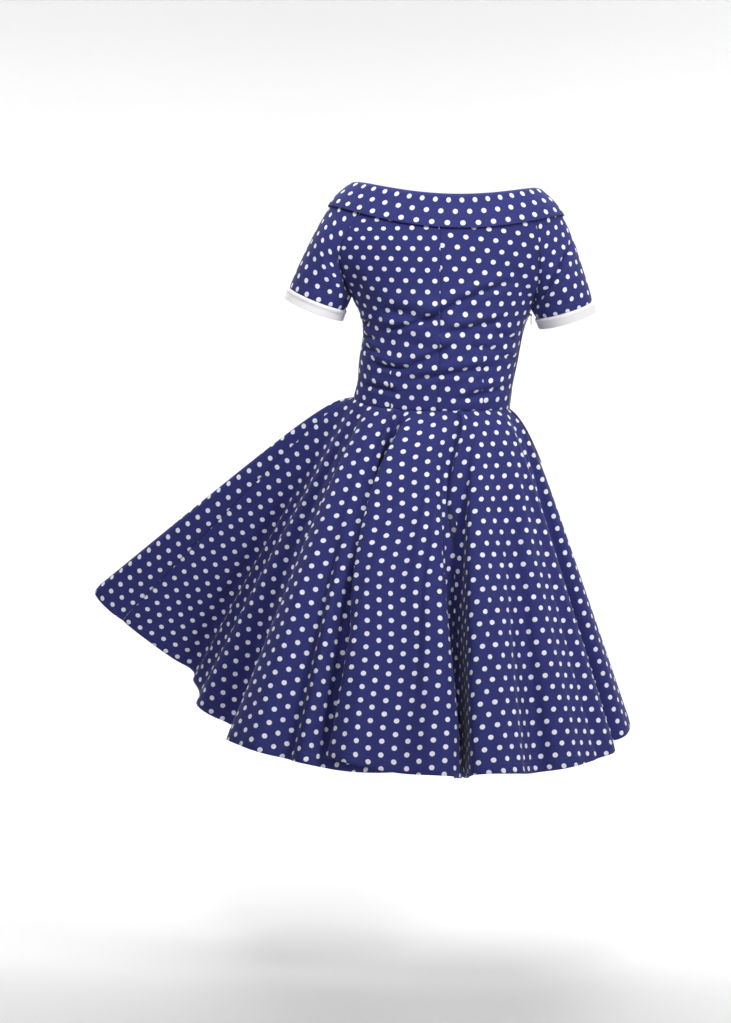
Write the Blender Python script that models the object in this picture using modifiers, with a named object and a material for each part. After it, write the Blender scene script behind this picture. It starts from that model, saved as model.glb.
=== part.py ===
"""A dress with a wide folded-over collar, short sleeves with contrast cuffs and a full-circle skirt.

It keeps the hollow form and pose of a worn garment. The back is at -Y, so a view along +Y
shows it with the garment's right side at +X, and its left side is lifted outwards at -X.
The origin lies on the shoulder line, where the dress is held up. Every cloth piece is the
outer face of its cut, as a grid of points, with a wall made inwards by Solidify.
Tables are in millimetres, and everything else is in metres and radians.
"""

import math

import bmesh
import bpy
import numpy as np
from mathutils import Matrix, Vector

MM = 0.001

# Cloth
WALL = 1.5 * MM
SEAM = 0.3 * MM
ARMHOLE_GAP = 0.5 * MM
MOST_TURN = math.radians(40)
MOST_MEETING = math.radians(110)
MEETING_SPARE = 1.3
NAVY = (0.035, 0.041, 0.162)
WHITE = (0.80, 0.79, 0.78)
METAL = (0.12, 0.12, 0.13)

# Skirt: a full circle with a hole for the waist, cut in two halves and sewn at both sides
WAIST_RADIUS = 0.118
SKIRT_LENGTH = 0.641
SKIRT_STEPS = 40
FOLD_ROUNDING = 15.0
HIP_HEIGHT = 0.08
STEEPEST = 0.93

# Hem in plan, x and y, from the left side seam round the back to the right one. A row is a
# ridge, a valley or a turn of the cloth between them.
HEM_BACK = (
    (-589, 186),
    (-525, 196),
    (-467, 190),
    (-441, 136),
    (-436, 70),
    (-408, 34),
    (-370, 20),
    (-352, -30),
    (-372, -95),
    (-366, -150),
    (-330, -186),
    (-281, -200),
    (-236, -220),
    (-196, -203),
    (-140, -165),
    (-75, -128),
    (-25, -108),
    (-2, -122),
    (-14, -146),
    (-66, -166),
    (-122, -186),
    (-170, -204),
    (-192, -226),
    (-174, -247),
    (-130, -253),
    (-71, -252),
    (-15, -268),
    (14, -262),
    (25, -225),
    (28, -175),
    (36, -132),
    (44, -175),
    (46, -225),
    (56, -270),
    (85, -276),
    (115, -260),
    (143, -226),
    (172, -198),
    (203, -190),
    (236, -172),
    (280, -125),
    (314, -84),
    (306, -50),
    (268, -28),
    (262, 0),
    (300, 20),
    (348, 42),
    (362, 86),
)

# Hem in plan from the right side seam round the front to the left one
HEM_FRONT = (
    (358, 125),
    (345, 168),
    (280, 184),
    (276, 214),
    (322, 272),
    (300, 312),
    (234, 276),
    (201, 298),
    (214, 366),
    (174, 392),
    (111, 309),
    (72, 317),
    (62, 412),
    (16, 424),
    (-20, 321),
    (-61, 319),
    (-94, 418),
    (-142, 428),
    (-169, 320),
    (-207, 312),
    (-258, 400),
    (-304, 404),
    (-313, 300),
    (-348, 288),
    (-420, 352),
    (-466, 342),
    (-470, 268),
    (-505, 262),
    (-580, 268),
    (-631, 218),
    (-637, 172),
    (-612, 176),
)

# How far the folds stand aside halfway down, in x at angles of the cut from the centre back
SWAY = ((-90, 0), (-60, 0), (-30, -18), (-5, -45), (15, -20), (30, -8), (60, 0), (270, 0))
WAIST_LAG = 12.0

# How far the cloth stands out just under the waist at most, at angles of the cut, as a share
# of the way to the hem
HIP_SPREAD = ((-90, 0.022), (-60, 0.03), (-30, 0.07), (0, 0.11), (240, 0.11), (255, 0.022), (270, 0.022))

# Bodice by levels from the waist to just under the collar: the edges of the panels at the
# left and right, x and z, then how far they lie behind and before the side line, how much
# further in the front armhole is cut, and the centre line of the back and front panels.
BODICE = (
    # left x, z, right x, z, edge back, front, cut in, centre x, back z, depth, front z, depth
    (-150, -372, 128, -394, 0, 0, 0, -3, -397, 86, -392, 102),
    (-143, -343, 133, -352, 0, 0, 0, -2, -356, 92, -350, 107),
    (-140, -305, 142, -308, 0, 0, 0, 0, -312, 99, -305, 113),
    (-133, -258, 150, -264, 0, 0, 0, 1, -268, 104, -262, 124),
    (-138, -226, 157, -240, 0, 0, 0, 1, -236, 106, -226, 133),
    (-153, -194, 168, -217, 0, 0, 0, 1, -204, 108, -192, 133),
    (-168, -162, 175, -184, 36, 44, 8, 1, -170, 110, -156, 129),
    (-177, -128, 177, -140, 58, 66, 18, 1, -132, 111, -120, 124),
    (-165, -92, 176, -104, 70, 82, 22, 1, -100, 110, -100, 119),
)
UNDERARM = 5
UNDER_LEVEL = 9
TOP_LEVEL = 10
SIDE_FULLNESS = 0.72

# Collar: a band folded over at its top, whose fall hangs free over the bodice and sleeves.
# Each value is given at the back, right, front and left.
COLLAR_FALL = 61 * MM
COLLAR_STAND = 12 * MM
UNDER_EDGE = 0.9 * COLLAR_FALL
COLLAR_PROUD = 4.2 * MM
COLLAR_BULGE = 4 * MM
TOP_CENTRE = 14.5
TOP_WIDTH = 165.5
TOP_DEPTH = (97, 0, 101, 0)
TOP_Z = (-20, -2, -34, 9)
EDGE_CENTRE = 15
EDGE_WIDTH = 211
EDGE_DEPTH = (113, 0, 121, 0)
EDGE_Z = (-79, -50, -92, -33)
ARMHOLE_TURN = math.radians(48)
CENTRE_TURN = math.radians(-4.3)

# Sleeves, left and right: the centre of the lower edge, its half width across and from back
# to front, how far it leans out and forward, and the same for the cuff's lower edge.
SLEEVE_LEFT = {"side": -1, "x": -214, "z": -197, "lean": 21.6, "half": 54.5, "cuff_half": 56}
SLEEVE_RIGHT = {"side": 1, "x": 227, "z": -216, "lean": 17.5, "half": 52.5, "cuff_half": 52}
SLEEVE_DEPTH = 1.08
SLEEVE_BULGE = 0.75
SLEEVE_Y = 6 * MM
SLEEVE_FORWARD = 8.0
CUFF_LENGTH = 20 * MM

# Zip: its slider on the right side seam, just under the sleeve, and the pull that hangs on it
SLIDER_Z = -226.5 * MM
SLIDER_LENGTH = 8 * MM
SLIDER_WIDTH = 5 * MM
SLIDER_THICK = 1.6 * MM
SLIDER_BEVEL = 0.5 * MM
PIVOT_OUT = 2.2 * MM
PIVOT_UP = 1.5 * MM
PIVOT_RADIUS = 0.5 * MM
POST_WIDTH = 0.9 * MM
POST_LENGTH = 1.8 * MM
POST_PAST = 0.7 * MM
EYE_RADIUS = 1.7 * MM
EYE_HOLE = 0.9 * MM
EYE_WIDTH = 2.4 * MM
NECK_LENGTH = 2.8 * MM
PULL_LENGTH = 16.6 * MM
PULL_WIDTH = 3.5 * MM
PULL_THICK = 1.0 * MM
PULL_BEVEL = 0.25 * MM
ROUND = 24

# How finely each piece is divided
SKIRT_BACK_COLUMNS = 100
SKIRT_FRONT_COLUMNS = 84
SKIRT_ROWS = (0, 3, 7, 12, 18, 25, 32, 40)
BODICE_COLUMNS = 9
BODICE_LEVELS = np.array([0, 0.7, 1.4, 2.1, 2.8, 3.5, 4.2, 5, 5.5, 6, 6.5, 7, 7.5, 8, 8.5, 9, 9.5, 10])
SLEEVE_COLUMNS = 24
SLEEVE_ROWS_BELOW = 2
COLLAR_COLUMNS = 52
CUFF_COLUMNS = 32
MERGE = 1e-6


def smooth(keys, rows, at):
    """Values at the keys at on a smooth curve through rows, whose own keys are given."""
    keys = np.asarray(keys, float)
    rows = np.asarray(rows, float)
    at = np.asarray(at, float)
    slope = np.gradient(rows, keys, axis=0)
    i = np.clip(np.searchsorted(keys, at, side="right") - 1, 0, len(keys) - 2)
    shape = (len(at),) + (1,) * (rows.ndim - 1)
    step = (keys[i + 1] - keys[i]).reshape(shape)
    f = ((at - keys[i]) / step.ravel()).reshape(shape)
    start = rows[i] * (1 + 2 * f) * (1 - f) ** 2 + slope[i] * step * f * (1 - f) ** 2
    end = rows[i + 1] * f**2 * (3 - 2 * f) - slope[i + 1] * step * f**2 * (1 - f)
    return start + end


def unit(vectors):
    """The vectors at length 1."""
    return vectors / np.linalg.norm(vectors, axis=-1, keepdims=True)


def run_length(points):
    """The length along the points from the first to each one."""
    steps = np.linalg.norm(np.diff(points, axis=0), axis=-1)
    return np.concatenate([[0], np.cumsum(steps)])


def around(turn, back, right, front, left):
    """A smooth value at an angle round the body, from its values at the four sides."""
    mean = (back + right + front + left) / 4
    across = (right - left) / 2
    along = (back - front) / 2
    oval = (back + front - right - left) / 4
    return mean + across * np.sin(turn) + along * np.cos(turn) + oval * np.cos(2 * turn)


def oval_ring(turn, centre, width, depth, height):
    """Points of a level or tilted oval ring round the body, in metres."""
    back, _, front, _ = depth
    deep = np.where(np.cos(turn) > 0, back, front)
    x = centre + width * np.sin(turn)
    y = -deep * np.cos(turn)
    return np.stack([x, y, around(turn, *height)], -1) * MM


def collar_face(turn, down):
    """The collar's outer face at an angle round the body and a length down from its top."""
    top = oval_ring(turn, TOP_CENTRE, TOP_WIDTH, TOP_DEPTH, TOP_Z)
    edge = oval_ring(turn, EDGE_CENTRE, EDGE_WIDTH, EDGE_DEPTH, EDGE_Z)
    share = down / COLLAR_FALL
    out = unit(np.stack([np.sin(turn), -np.cos(turn), 0.6 + 0 * turn], -1))
    side = np.sin(turn)[..., None] ** 2
    rise = 4 * COLLAR_BULGE * share * (1 - share)
    return top + (edge - top) * share + out * (rise * (0.15 + 0.85 * side))


def under_collar(turn, down, depth):
    """A point at the given depth behind the collar's outer face."""
    turn = np.asarray(turn, float)
    nudge = 1e-4
    round_body = collar_face(turn + nudge, down) - collar_face(turn - nudge, down)
    downward = collar_face(turn, down + nudge) - collar_face(turn, down - nudge)
    inward = unit(np.cross(round_body, downward))
    return collar_face(turn, down) + inward * depth


def bodice_sections(side, is_front):
    """Rows of points of half a panel, from its centre line to its edge, level by level."""
    share = np.linspace(0, 1, BODICE_COLUMNS + 1)
    sections = []
    for row in BODICE:
        left_x, left_z, right_x, right_z, back_y, front_y, cut_in, centre = row[:8]
        centre_z, depth = row[10:12] if is_front else row[8:10]
        edge_x, edge_z = (left_x, left_z) if side < 0 else (right_x, right_z)
        edge_y = front_y if is_front else back_y
        if is_front:
            edge_x -= side * cut_in
        edge_turn = math.acos(edge_y / depth)
        turn = edge_turn * share
        wide = (edge_x - centre) / math.sin(edge_turn)
        squared = np.cos(turn) ** (SIDE_FULLNESS if is_front and edge_y == 0 else 1)
        x = centre + wide * np.sin(turn)
        y = depth * squared * (1 if is_front else -1)
        z = centre_z + (edge_z - centre_z) * share**2
        sections.append(np.stack([x, y, z], -1) * MM)
    for down in (UNDER_EDGE, COLLAR_STAND):
        turn = CENTRE_TURN + (side * ARMHOLE_TURN - CENTRE_TURN) * share
        if is_front:
            turn = math.pi - turn
        sections.append(under_collar(turn, down, COLLAR_PROUD))
    return np.array(sections)


def bodice_panel(side, is_front, levels):
    """Half a bodice panel as a grid [row, column] at the levels, from the centre line out."""
    sections = bodice_sections(side, is_front)
    grid = smooth(np.arange(len(sections)), sections, levels)
    y = grid[..., 1]
    grid[..., 1] = np.maximum(y, 0) if is_front else np.minimum(y, 0)
    return grid


def joined_bodice_panel(side, is_front):
    """The panel at the solid's own levels, moved back from the side seam and the armhole."""
    both = [bodice_panel(side, face, BODICE_LEVELS) for face in (False, True)]
    grid = both[is_front]
    above = BODICE_LEVELS >= UNDERARM
    meeting = seam_gap(*[panel[:, ::-1].swapaxes(0, 1) for panel in both])
    move_in(grid.swapaxes(0, 1), "last", np.where(above, ARMHOLE_GAP, meeting))
    corner = np.flatnonzero(above)[0]
    grid[corner, -1] += unit(grid[corner - 1, -1] - grid[corner, -1]) * ARMHOLE_GAP
    move_in(grid, "first")
    return grid


def waist_line(angles):
    """The waist seam at angles of the skirt's cut, in degrees from the centre back."""
    half = [bodice_sections(side, face)[0] for side in (-1, 1) for face in (False, True)]
    left_back, left_front, right_back, right_front = half
    back = np.concatenate([left_back[::-1], right_back[1:]])
    front = np.concatenate([right_front[::-1], left_front[1:]])
    cut = []
    points = []
    for start, line in ((-90, back), (90, front)):
        length = run_length(line)
        cut.append(start + 180 * length / length[-1])
        points.append(line)
    keys = np.concatenate([cut[0], cut[1][1:]])
    line = np.concatenate([points[0], points[1][1:]])
    lag = WAIST_LAG * np.where(angles < 90, np.cos(np.radians(angles)) ** 2, 0)
    return smooth(keys, line, angles - lag)


def hem_line(angles):
    """The hem in plan at angles of the cut, which follow its length from side seam to side seam."""
    plan = np.array(HEM_BACK + HEM_FRONT + HEM_BACK[:3], float) * MM
    keys = run_length(plan)
    fine = np.linspace(0, keys[len(HEM_BACK) + len(HEM_FRONT)], 4001)
    curve = smooth(keys, plan, fine)
    length = run_length(curve)
    seam = np.interp(keys[len(HEM_BACK)], fine, length)
    back = np.minimum(length, seam) / seam
    front = np.maximum(length - seam, 0) / (length[-1] - seam)
    cut = -90 + 180 * back + 180 * front
    return np.stack([np.interp(angles, cut, curve[:, axis]) for axis in (0, 1)], -1)


def rounded(values, angles, width):
    """A closed curve with its folds rounded away over the given width in degrees."""
    apart = np.abs(angles[:, None] - angles[None, :])
    apart = np.minimum(apart, 360 - apart)
    weight = np.exp(-0.5 * (apart / width) ** 2)
    return weight @ values / weight.sum(1, keepdims=True)


def skirt_surface(angles):
    """The skirt as a grid [step, column]: each column hangs from the waist at its cut length.

    Between the waist and the hem the folds open so that each row has the length of its cut.
    """
    waist = waist_line(angles)
    hem = hem_line(angles)
    base = rounded(hem, angles, FOLD_ROUNDING)
    fold = hem - base
    step = SKIRT_LENGTH / SKIRT_STEPS
    reach = np.linalg.norm(base - waist[:, :2], axis=1)
    spread = HIP_HEIGHT * (STEEPEST * SKIRT_LENGTH / reach - 1)
    spread = np.clip(spread, 0, np.interp(angles, *np.transpose(HIP_SPREAD)))
    sway = np.interp(angles, *np.transpose(SWAY)) * MM
    sway = np.stack([sway, 0 * sway], -1)
    at = waist[:, :2]
    height = waist[:, 2]
    grid = [waist]
    for row in range(1, SKIRT_STEPS + 1):
        share = row / SKIRT_STEPS
        out = share + spread * (1 - math.exp(-share / HIP_HEIGHT)) * (1 - share)
        plain = waist[:, :2] + (base - waist[:, :2]) * out[:, None]
        plain = plain + sway * (6.75 * share * (1 - share) ** 2)
        target = 2 * math.pi * (WAIST_RADIUS + share * SKIRT_LENGTH)
        low, high = 0.0, 1.3
        for _ in range(24):
            opened = (low + high) / 2
            trial = plain + fold * opened
            drop = hanging(trial - at, step)
            if row_length(trial, height - drop) > target:
                high = opened
            else:
                low = opened
        if row == SKIRT_STEPS:
            trial = hem
            drop = hanging(trial - at, step)
        at = trial
        height = height - drop
        grid.append(np.column_stack([at, height]))
    return np.array(grid)


def hanging(moves, step):
    """How far the cloth drops in one step along its cut while it moves out by moves."""
    flat = np.linalg.norm(moves, axis=1)
    return np.sqrt(np.maximum(step**2 - flat**2, (0.1 * step) ** 2))


def row_length(plan, height):
    """The length of a closed row of points."""
    ring = np.column_stack([plan, height])
    return np.linalg.norm(np.diff(ring, axis=0), axis=1).sum()


def skirt_panel(start, columns):
    """Half the skirt as a grid, from the given angle of the cut, at the rows that the solid has."""
    fine = np.arange(-90, 270.01, 0.5)
    surface = skirt_surface(fine)
    wanted = np.linspace(start, start + 180, columns + 1)
    rows = [smooth(fine, surface[row], wanted) for row in SKIRT_ROWS]
    return np.array(rows)


def sleeve_axes(arm):
    """The sleeve's direction across, down along the arm and towards the front."""
    lean = math.radians(arm["lean"]) * arm["side"]
    forward = math.radians(SLEEVE_FORWARD)
    down = np.array([math.sin(lean), math.sin(forward), -math.cos(lean) * math.cos(forward)])
    down = unit(down)
    front = unit(np.array([0, 1, 0]) - down * down[1])
    across = np.cross(front, down)
    if across[0] * arm["side"] < 0:
        across = -across
    return across, down, front


def sleeve_ring(arm, turn, half, down_by):
    """A ring round the arm at its lower edge, or lower down by the given length."""
    across, down, front = sleeve_axes(arm)
    centre = np.array([arm["x"] * MM, SLEEVE_Y, arm["z"] * MM]) + down * down_by
    wide = across * (half * MM)
    deep = front * (half * SLEEVE_DEPTH * MM)
    return centre + np.cos(turn)[:, None] * wide + np.sin(turn)[:, None] * deep


def sleeve_surface(arm, levels, columns, rows_below):
    """The sleeve as a grid [row, column] from the neckline to its hem.

    Its columns go from the back armhole round the outside of the arm to the front armhole,
    and below the underarm the first and last of them meet.
    """
    side = arm["side"]
    share = np.linspace(0, 1, columns + 1)
    turn = side * (ARMHOLE_TURN + (math.pi - 2 * ARMHOLE_TURN) * share)
    start = under_collar(turn, UNDER_EDGE, COLLAR_PROUD)
    leaves = unit(start - under_collar(turn, UNDER_EDGE - 5 * MM, COLLAR_PROUD))
    hem = sleeve_ring(arm, math.pi * (2 * share - 1), arm["half"], 0)
    arriving = sleeve_axes(arm)[1]
    apart = np.linalg.norm(hem - start, axis=1, keepdims=True) * SLEEVE_BULGE
    back = bodice_panel(side, False, levels)[:, -1]
    front = bodice_panel(side, True, levels)[:, -1]
    closing = np.linspace(0, 1, rows_below + 1)[1:, None]
    below = back[-1] + (hem[0] - back[-1]) * closing
    back = np.concatenate([back, below])
    front = np.concatenate([front, below])
    free = run_length(back)
    under = np.interp(UNDER_LEVEL, levels[::-1], free[: len(levels)][::-1])
    near_back = np.cos(math.pi * np.minimum(share, 0.5))[:, None] ** 2
    grid = []
    for row, length in enumerate(free):
        if row < len(levels) and levels[row] >= UNDER_LEVEL:
            down = np.interp(levels[row], (UNDER_LEVEL, TOP_LEVEL), (UNDER_EDGE, COLLAR_STAND))
            line = under_collar(turn, down, COLLAR_PROUD)
        else:
            f = (length - under) / (free[-1] - under)
            line = start * (1 + 2 * f) * (1 - f) ** 2 + leaves * apart * f * (1 - f) ** 2
            line = line + hem * f**2 * (3 - 2 * f) - arriving * apart * f**2 * (1 - f)
        line = line + (back[row] - line[0]) * near_back
        grid.append(line + (front[row] - line[-1]) * near_back[::-1])
    return np.array(grid)


def joined_sleeve(arm):
    """The sleeve at the solid's own levels, moved back from the armhole."""
    levels = BODICE_LEVELS[BODICE_LEVELS >= UNDERARM][::-1]
    grid = sleeve_surface(arm, levels, SLEEVE_COLUMNS, SLEEVE_ROWS_BELOW)
    slit = grid[: len(levels) - 1]
    for end in ("first", "last"):
        move_in(slit.swapaxes(0, 1), end, ARMHOLE_GAP)
    corner = len(levels) - 1
    lowered = unit(grid[corner + 1, 0] - grid[corner, 0]) * (2 * ARMHOLE_GAP)
    grid[corner, 0] += lowered
    grid[corner, -1] = grid[corner, 0]
    grid[-1] += unit(grid[-2] - grid[-1]) * SEAM
    return grid


def cuff_surface(arm, columns):
    """A cuff as a grid [row, column], closed round the arm."""
    turn = np.linspace(0, 2 * math.pi, columns, endpoint=False)
    rows = [(arm["half"] + 1, 2 * SEAM), (arm["half"] + 1.5, CUFF_LENGTH / 2)]
    rows.append((arm["cuff_half"] + 1, CUFF_LENGTH))
    return np.array([sleeve_ring(arm, turn, half, down_by) for half, down_by in rows])


def collar_surface():
    """The collar as a grid [row, column], closed round the body, from its lower edge over its fold."""
    turn = np.linspace(0, 2 * math.pi, COLLAR_COLUMNS, endpoint=False)
    back = COLLAR_PROUD + WALL
    rows = [(COLLAR_FALL * share, 0) for share in (1, 0.75, 0.5, 0.25, 0.05)]
    rows += [(-0.3 * back, 0.5 * back), (0.05 * COLLAR_FALL, back), (COLLAR_STAND - 2 * SEAM, back)]
    return np.array([under_collar(turn, down, depth) for down, depth in rows])


def move_in(grid, end, extra=0.0):
    """Moves the first or last row of the grid towards the next one, to leave a seam open.

    It moves by half a seam and by as much as the wall's inner edge leans out past it, which
    comes from the turn between the last two faces.
    """
    edge, inner, third = (0, 1, 2) if end == "first" else (-1, -2, -3)
    inward = unit(grid[inner] - grid[edge])
    beyond = unit(grid[third] - grid[inner])
    turn = np.arccos(np.clip((inward * beyond).sum(1), -1, 1))
    away = SEAM / 2 + WALL * np.tan(np.minimum(turn, MOST_TURN) / 2) + extra
    grid[edge] += inward * away[:, None]


def seam_gap(one, other):
    """How much further two panels stand back from their shared first row, as they meet at an angle."""
    turn = np.arccos(np.clip(-(unit(one[1] - one[0]) * unit(other[1] - other[0])).sum(1), -1, 1))
    return MEETING_SPARE * WALL * np.tan(np.minimum(turn, MOST_MEETING) / 2)


def fabric(name, colour, roughness=0.8, metallic=0.0):
    """A plain material with the piece's own colour."""
    material = bpy.data.materials.new(name)
    material.use_nodes = True
    shader = material.node_tree.nodes["Principled BSDF"]
    shader.inputs["Base Color"].default_value = (*colour, 1.0)
    shader.inputs["Roughness"].default_value = roughness
    shader.inputs["Metallic"].default_value = metallic
    return material


def add_object(name, mesh, collection, colour, roughness=0.8, metallic=0.0):
    """An object for the mesh, in the dress's collection and with its own material."""
    obj = bpy.data.objects.new(name, mesh)
    mesh.materials.append(fabric(name, colour, roughness, metallic))
    mesh.shade_smooth()
    collection.objects.link(obj)
    return obj


def add_cloth(name, grid, collection, colour, closed=False):
    """A cloth piece: a loft through the grid's rows, walled towards the inside of the dress."""
    rows, columns = grid.shape[:2]
    bm = bmesh.new()
    points = [[bm.verts.new(point) for point in row] for row in grid]
    for lower, upper in zip(points, points[1:]):
        for i in range(columns if closed else columns - 1):
            j = (i + 1) % columns
            bm.faces.new((lower[i], lower[j], upper[j], upper[i]))
    bmesh.ops.remove_doubles(bm, verts=bm.verts, dist=MERGE)
    mesh = bpy.data.meshes.new(name)
    bm.to_mesh(mesh)
    bm.free()
    obj = add_object(name, mesh, collection, colour)
    solidify = obj.modifiers.new("wall", "SOLIDIFY")
    solidify.thickness = WALL
    solidify.offset = -1
    return obj


def box(low, high, bevel=0.0):
    """A closed box between two corners, with its edges rounded."""
    bm = bmesh.new()
    bmesh.ops.create_cube(bm, size=1)
    low = np.array(low)
    high = np.array(high)
    bmesh.ops.scale(bm, vec=high - low, verts=bm.verts)
    bmesh.ops.translate(bm, vec=(low + high) / 2, verts=bm.verts)
    if bevel:
        bmesh.ops.bevel(bm, geom=bm.edges, offset=bevel, segments=2, profile=0.5, affect="EDGES")
    return bm


def rod(centre, radius, length):
    """A closed round rod along Y."""
    bm = bmesh.new()
    turned = Matrix.Translation(centre) @ Matrix.Rotation(math.pi / 2, 4, "X")
    bmesh.ops.create_cone(
        bm, cap_ends=True, segments=ROUND, radius1=radius, radius2=radius, depth=length, matrix=turned
    )
    return bm


def made_one(joined, cut_away=()):
    """One closed mesh from bodies that are joined and others that are cut away."""
    scene = bpy.context.scene.collection
    helpers = []
    for bm in (*joined, *cut_away):
        mesh = bpy.data.meshes.new("helper")
        bm.to_mesh(mesh)
        bm.free()
        helpers.append(bpy.data.objects.new("helper", mesh))
        scene.objects.link(helpers[-1])
    for index, helper in enumerate(helpers[1:], 1):
        boolean = helpers[0].modifiers.new("boolean", "BOOLEAN")
        boolean.operation = "UNION" if index < len(joined) else "DIFFERENCE"
        boolean.solver = "EXACT"
        boolean.object = helper
    graph = bpy.context.evaluated_depsgraph_get()
    mesh = bpy.data.meshes.new_from_object(helpers[0].evaluated_get(graph))
    for helper in helpers:
        bpy.data.objects.remove(helper, do_unlink=True)
    return mesh


def build_bodice(dress):
    """The back's left and right panels, which meet in the centre-back seam, and the front."""
    for side, name in ((-1, "bodice_back_left"), (1, "bodice_back_right")):
        panel = joined_bodice_panel(side, False)
        move_in(panel.swapaxes(0, 1), "first")
        add_cloth(name, panel if side > 0 else panel[:, ::-1], dress, NAVY)
    left = joined_bodice_panel(-1, True)
    right = joined_bodice_panel(1, True)
    add_cloth("bodice_front", np.concatenate([right[:, ::-1], left[:, 1:]], axis=1), dress, NAVY)


def build_skirt(dress):
    """The skirt's back and front halves, which hang from the waist seam."""
    back = skirt_panel(-90, SKIRT_BACK_COLUMNS)
    front = skirt_panel(90, SKIRT_FRONT_COLUMNS)
    across_back = back.swapaxes(0, 1)
    across_front = front.swapaxes(0, 1)
    left = seam_gap(across_back, across_front[::-1])
    right = seam_gap(across_back[::-1], across_front)
    for name, panel, first, last in (("skirt_back", back, left, right), ("skirt_front", front, right, left)):
        move_in(panel, "first")
        move_in(panel.swapaxes(0, 1), "first", first)
        move_in(panel.swapaxes(0, 1), "last", last)
        add_cloth(name, panel[::-1], dress, NAVY)


def build_sleeves(dress):
    """Each sleeve, and the contrast cuff sewn to its lower edge."""
    for arm, side in ((SLEEVE_LEFT, "left"), (SLEEVE_RIGHT, "right")):
        sleeve = joined_sleeve(arm)
        cuff = cuff_surface(arm, CUFF_COLUMNS)
        if arm["side"] > 0:
            sleeve = sleeve[::-1]
            cuff = cuff[::-1]
        add_cloth("sleeve_" + side, sleeve, dress, NAVY)
        add_cloth("cuff_" + side, cuff, dress, WHITE, closed=True)


def build_collar(dress):
    """The folded collar, in one piece all round."""
    add_cloth("collar", collar_surface(), dress, NAVY, closed=True)


def zip_place():
    """The turn and position of the slider, whose local X faces out of the cloth and Z goes up it."""
    edge = bodice_panel(1, False, BODICE_LEVELS)[:, -1]
    half = SLIDER_LENGTH / 2
    low, high = (np.interp(SLIDER_Z + step, edge[:, 2], edge[:, 0]) for step in (-half, half))
    tilt = math.atan2(high - low, 2 * half)
    centre = ((low + high) / 2, 0, SLIDER_Z)
    return Matrix.Translation(centre) @ Matrix.Rotation(tilt, 4, "Y")


def build_zip(dress):
    """The slider, a plate with two posts and the bar between them, and the pull that hangs on the bar."""
    half = SLIDER_WIDTH / 2
    face = SEAM + SLIDER_THICK
    bar = face + PIVOT_OUT
    low = (SEAM, -half, -SLIDER_LENGTH / 2)
    bodies = [box(low, (face, half, SLIDER_LENGTH / 2), SLIDER_BEVEL)]
    for side in (-1, 1):
        start, end = sorted((side * half, side * (half - POST_WIDTH)))
        foot = (face - SLIDER_THICK / 2, start, PIVOT_UP - POST_LENGTH / 2)
        bodies.append(box(foot, (bar + POST_PAST, end, PIVOT_UP + POST_LENGTH / 2)))
    bodies.append(rod((bar, 0, PIVOT_UP), PIVOT_RADIUS, SLIDER_WIDTH - POST_WIDTH))
    slider = made_one(bodies)
    place = zip_place()
    obj = add_object("zip_slider", slider, dress, METAL, roughness=0.4, metallic=1.0)
    obj.matrix_world = place

    eye = rod((0, 0, 0), EYE_RADIUS, EYE_WIDTH)
    thin = PULL_THICK / 2
    inside_ring = (EYE_HOLE + EYE_RADIUS) / 2
    neck = box((-thin, -EYE_WIDTH / 2, -NECK_LENGTH), (thin, EYE_WIDTH / 2, -inside_ring))
    tab = box(
        (-thin, -PULL_WIDTH / 2, -PULL_LENGTH), (thin, PULL_WIDTH / 2, PULL_BEVEL - NECK_LENGTH), PULL_BEVEL
    )
    hole = rod((0, 0, 0), EYE_HOLE, 2 * EYE_WIDTH)
    pull = made_one([eye, neck, tab], [hole])
    obj = add_object("zip_pull", pull, dress, METAL, roughness=0.4, metallic=1.0)
    obj.location = place @ Vector((bar, 0, PIVOT_UP))


def main():
    for obj in list(bpy.data.objects):
        bpy.data.objects.remove(obj, do_unlink=True)
    dress = bpy.data.collections.new("a_line_dress")
    bpy.context.scene.collection.children.link(dress)
    build_bodice(dress)
    build_skirt(dress)
    build_sleeves(dress)
    build_collar(dress)
    build_zip(dress)


main()
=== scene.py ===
"""A worn swing dress in dotted navy cotton, with a wide folded collar, short cuffed sleeves and
a full-circle skirt that is held out at its left side.

Each cloth piece is a grid of points on the outer face of its cut, worked out from the waist,
hem, neck and sleeve sizes. Creases and seams are pressed into it, and it gets a thin wall. Its
UV map holds its place in the printed cloth, in metres, so the dots are cut where a seam cuts
them. The dress's back is at -Y and its right side at +X. Tables are in millimetres, lengths
elsewhere in metres and angles in radians, unless their comment says degrees.
"""

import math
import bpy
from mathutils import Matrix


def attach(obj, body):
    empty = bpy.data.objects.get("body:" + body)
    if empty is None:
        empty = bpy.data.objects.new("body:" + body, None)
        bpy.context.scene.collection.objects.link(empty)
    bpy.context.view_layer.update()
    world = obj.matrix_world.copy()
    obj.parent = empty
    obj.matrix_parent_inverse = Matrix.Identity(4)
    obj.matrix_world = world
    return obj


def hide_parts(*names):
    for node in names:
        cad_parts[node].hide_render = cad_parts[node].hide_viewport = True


bl_info = {
    "name": "Dotted swing dress",
    "version": (1, 0, 0),
    "blender": (4, 5, 0),
    "location": "3D View > Sidebar > Dress",
    "description": "Dresses the plain model of a swing dress in its printed cotton, sewing and zip",
    "category": "Object",
}

import bmesh
import bpy
import numpy as np
from bpy.props import FloatProperty, FloatVectorProperty, PointerProperty
from mathutils import Matrix, Vector

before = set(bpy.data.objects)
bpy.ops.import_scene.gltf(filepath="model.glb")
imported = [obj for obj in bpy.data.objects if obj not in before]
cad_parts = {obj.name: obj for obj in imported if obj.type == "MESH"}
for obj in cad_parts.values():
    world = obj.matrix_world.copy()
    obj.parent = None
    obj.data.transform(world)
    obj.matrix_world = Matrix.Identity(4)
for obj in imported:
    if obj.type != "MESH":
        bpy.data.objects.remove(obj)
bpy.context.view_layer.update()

MM = 0.001

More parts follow.
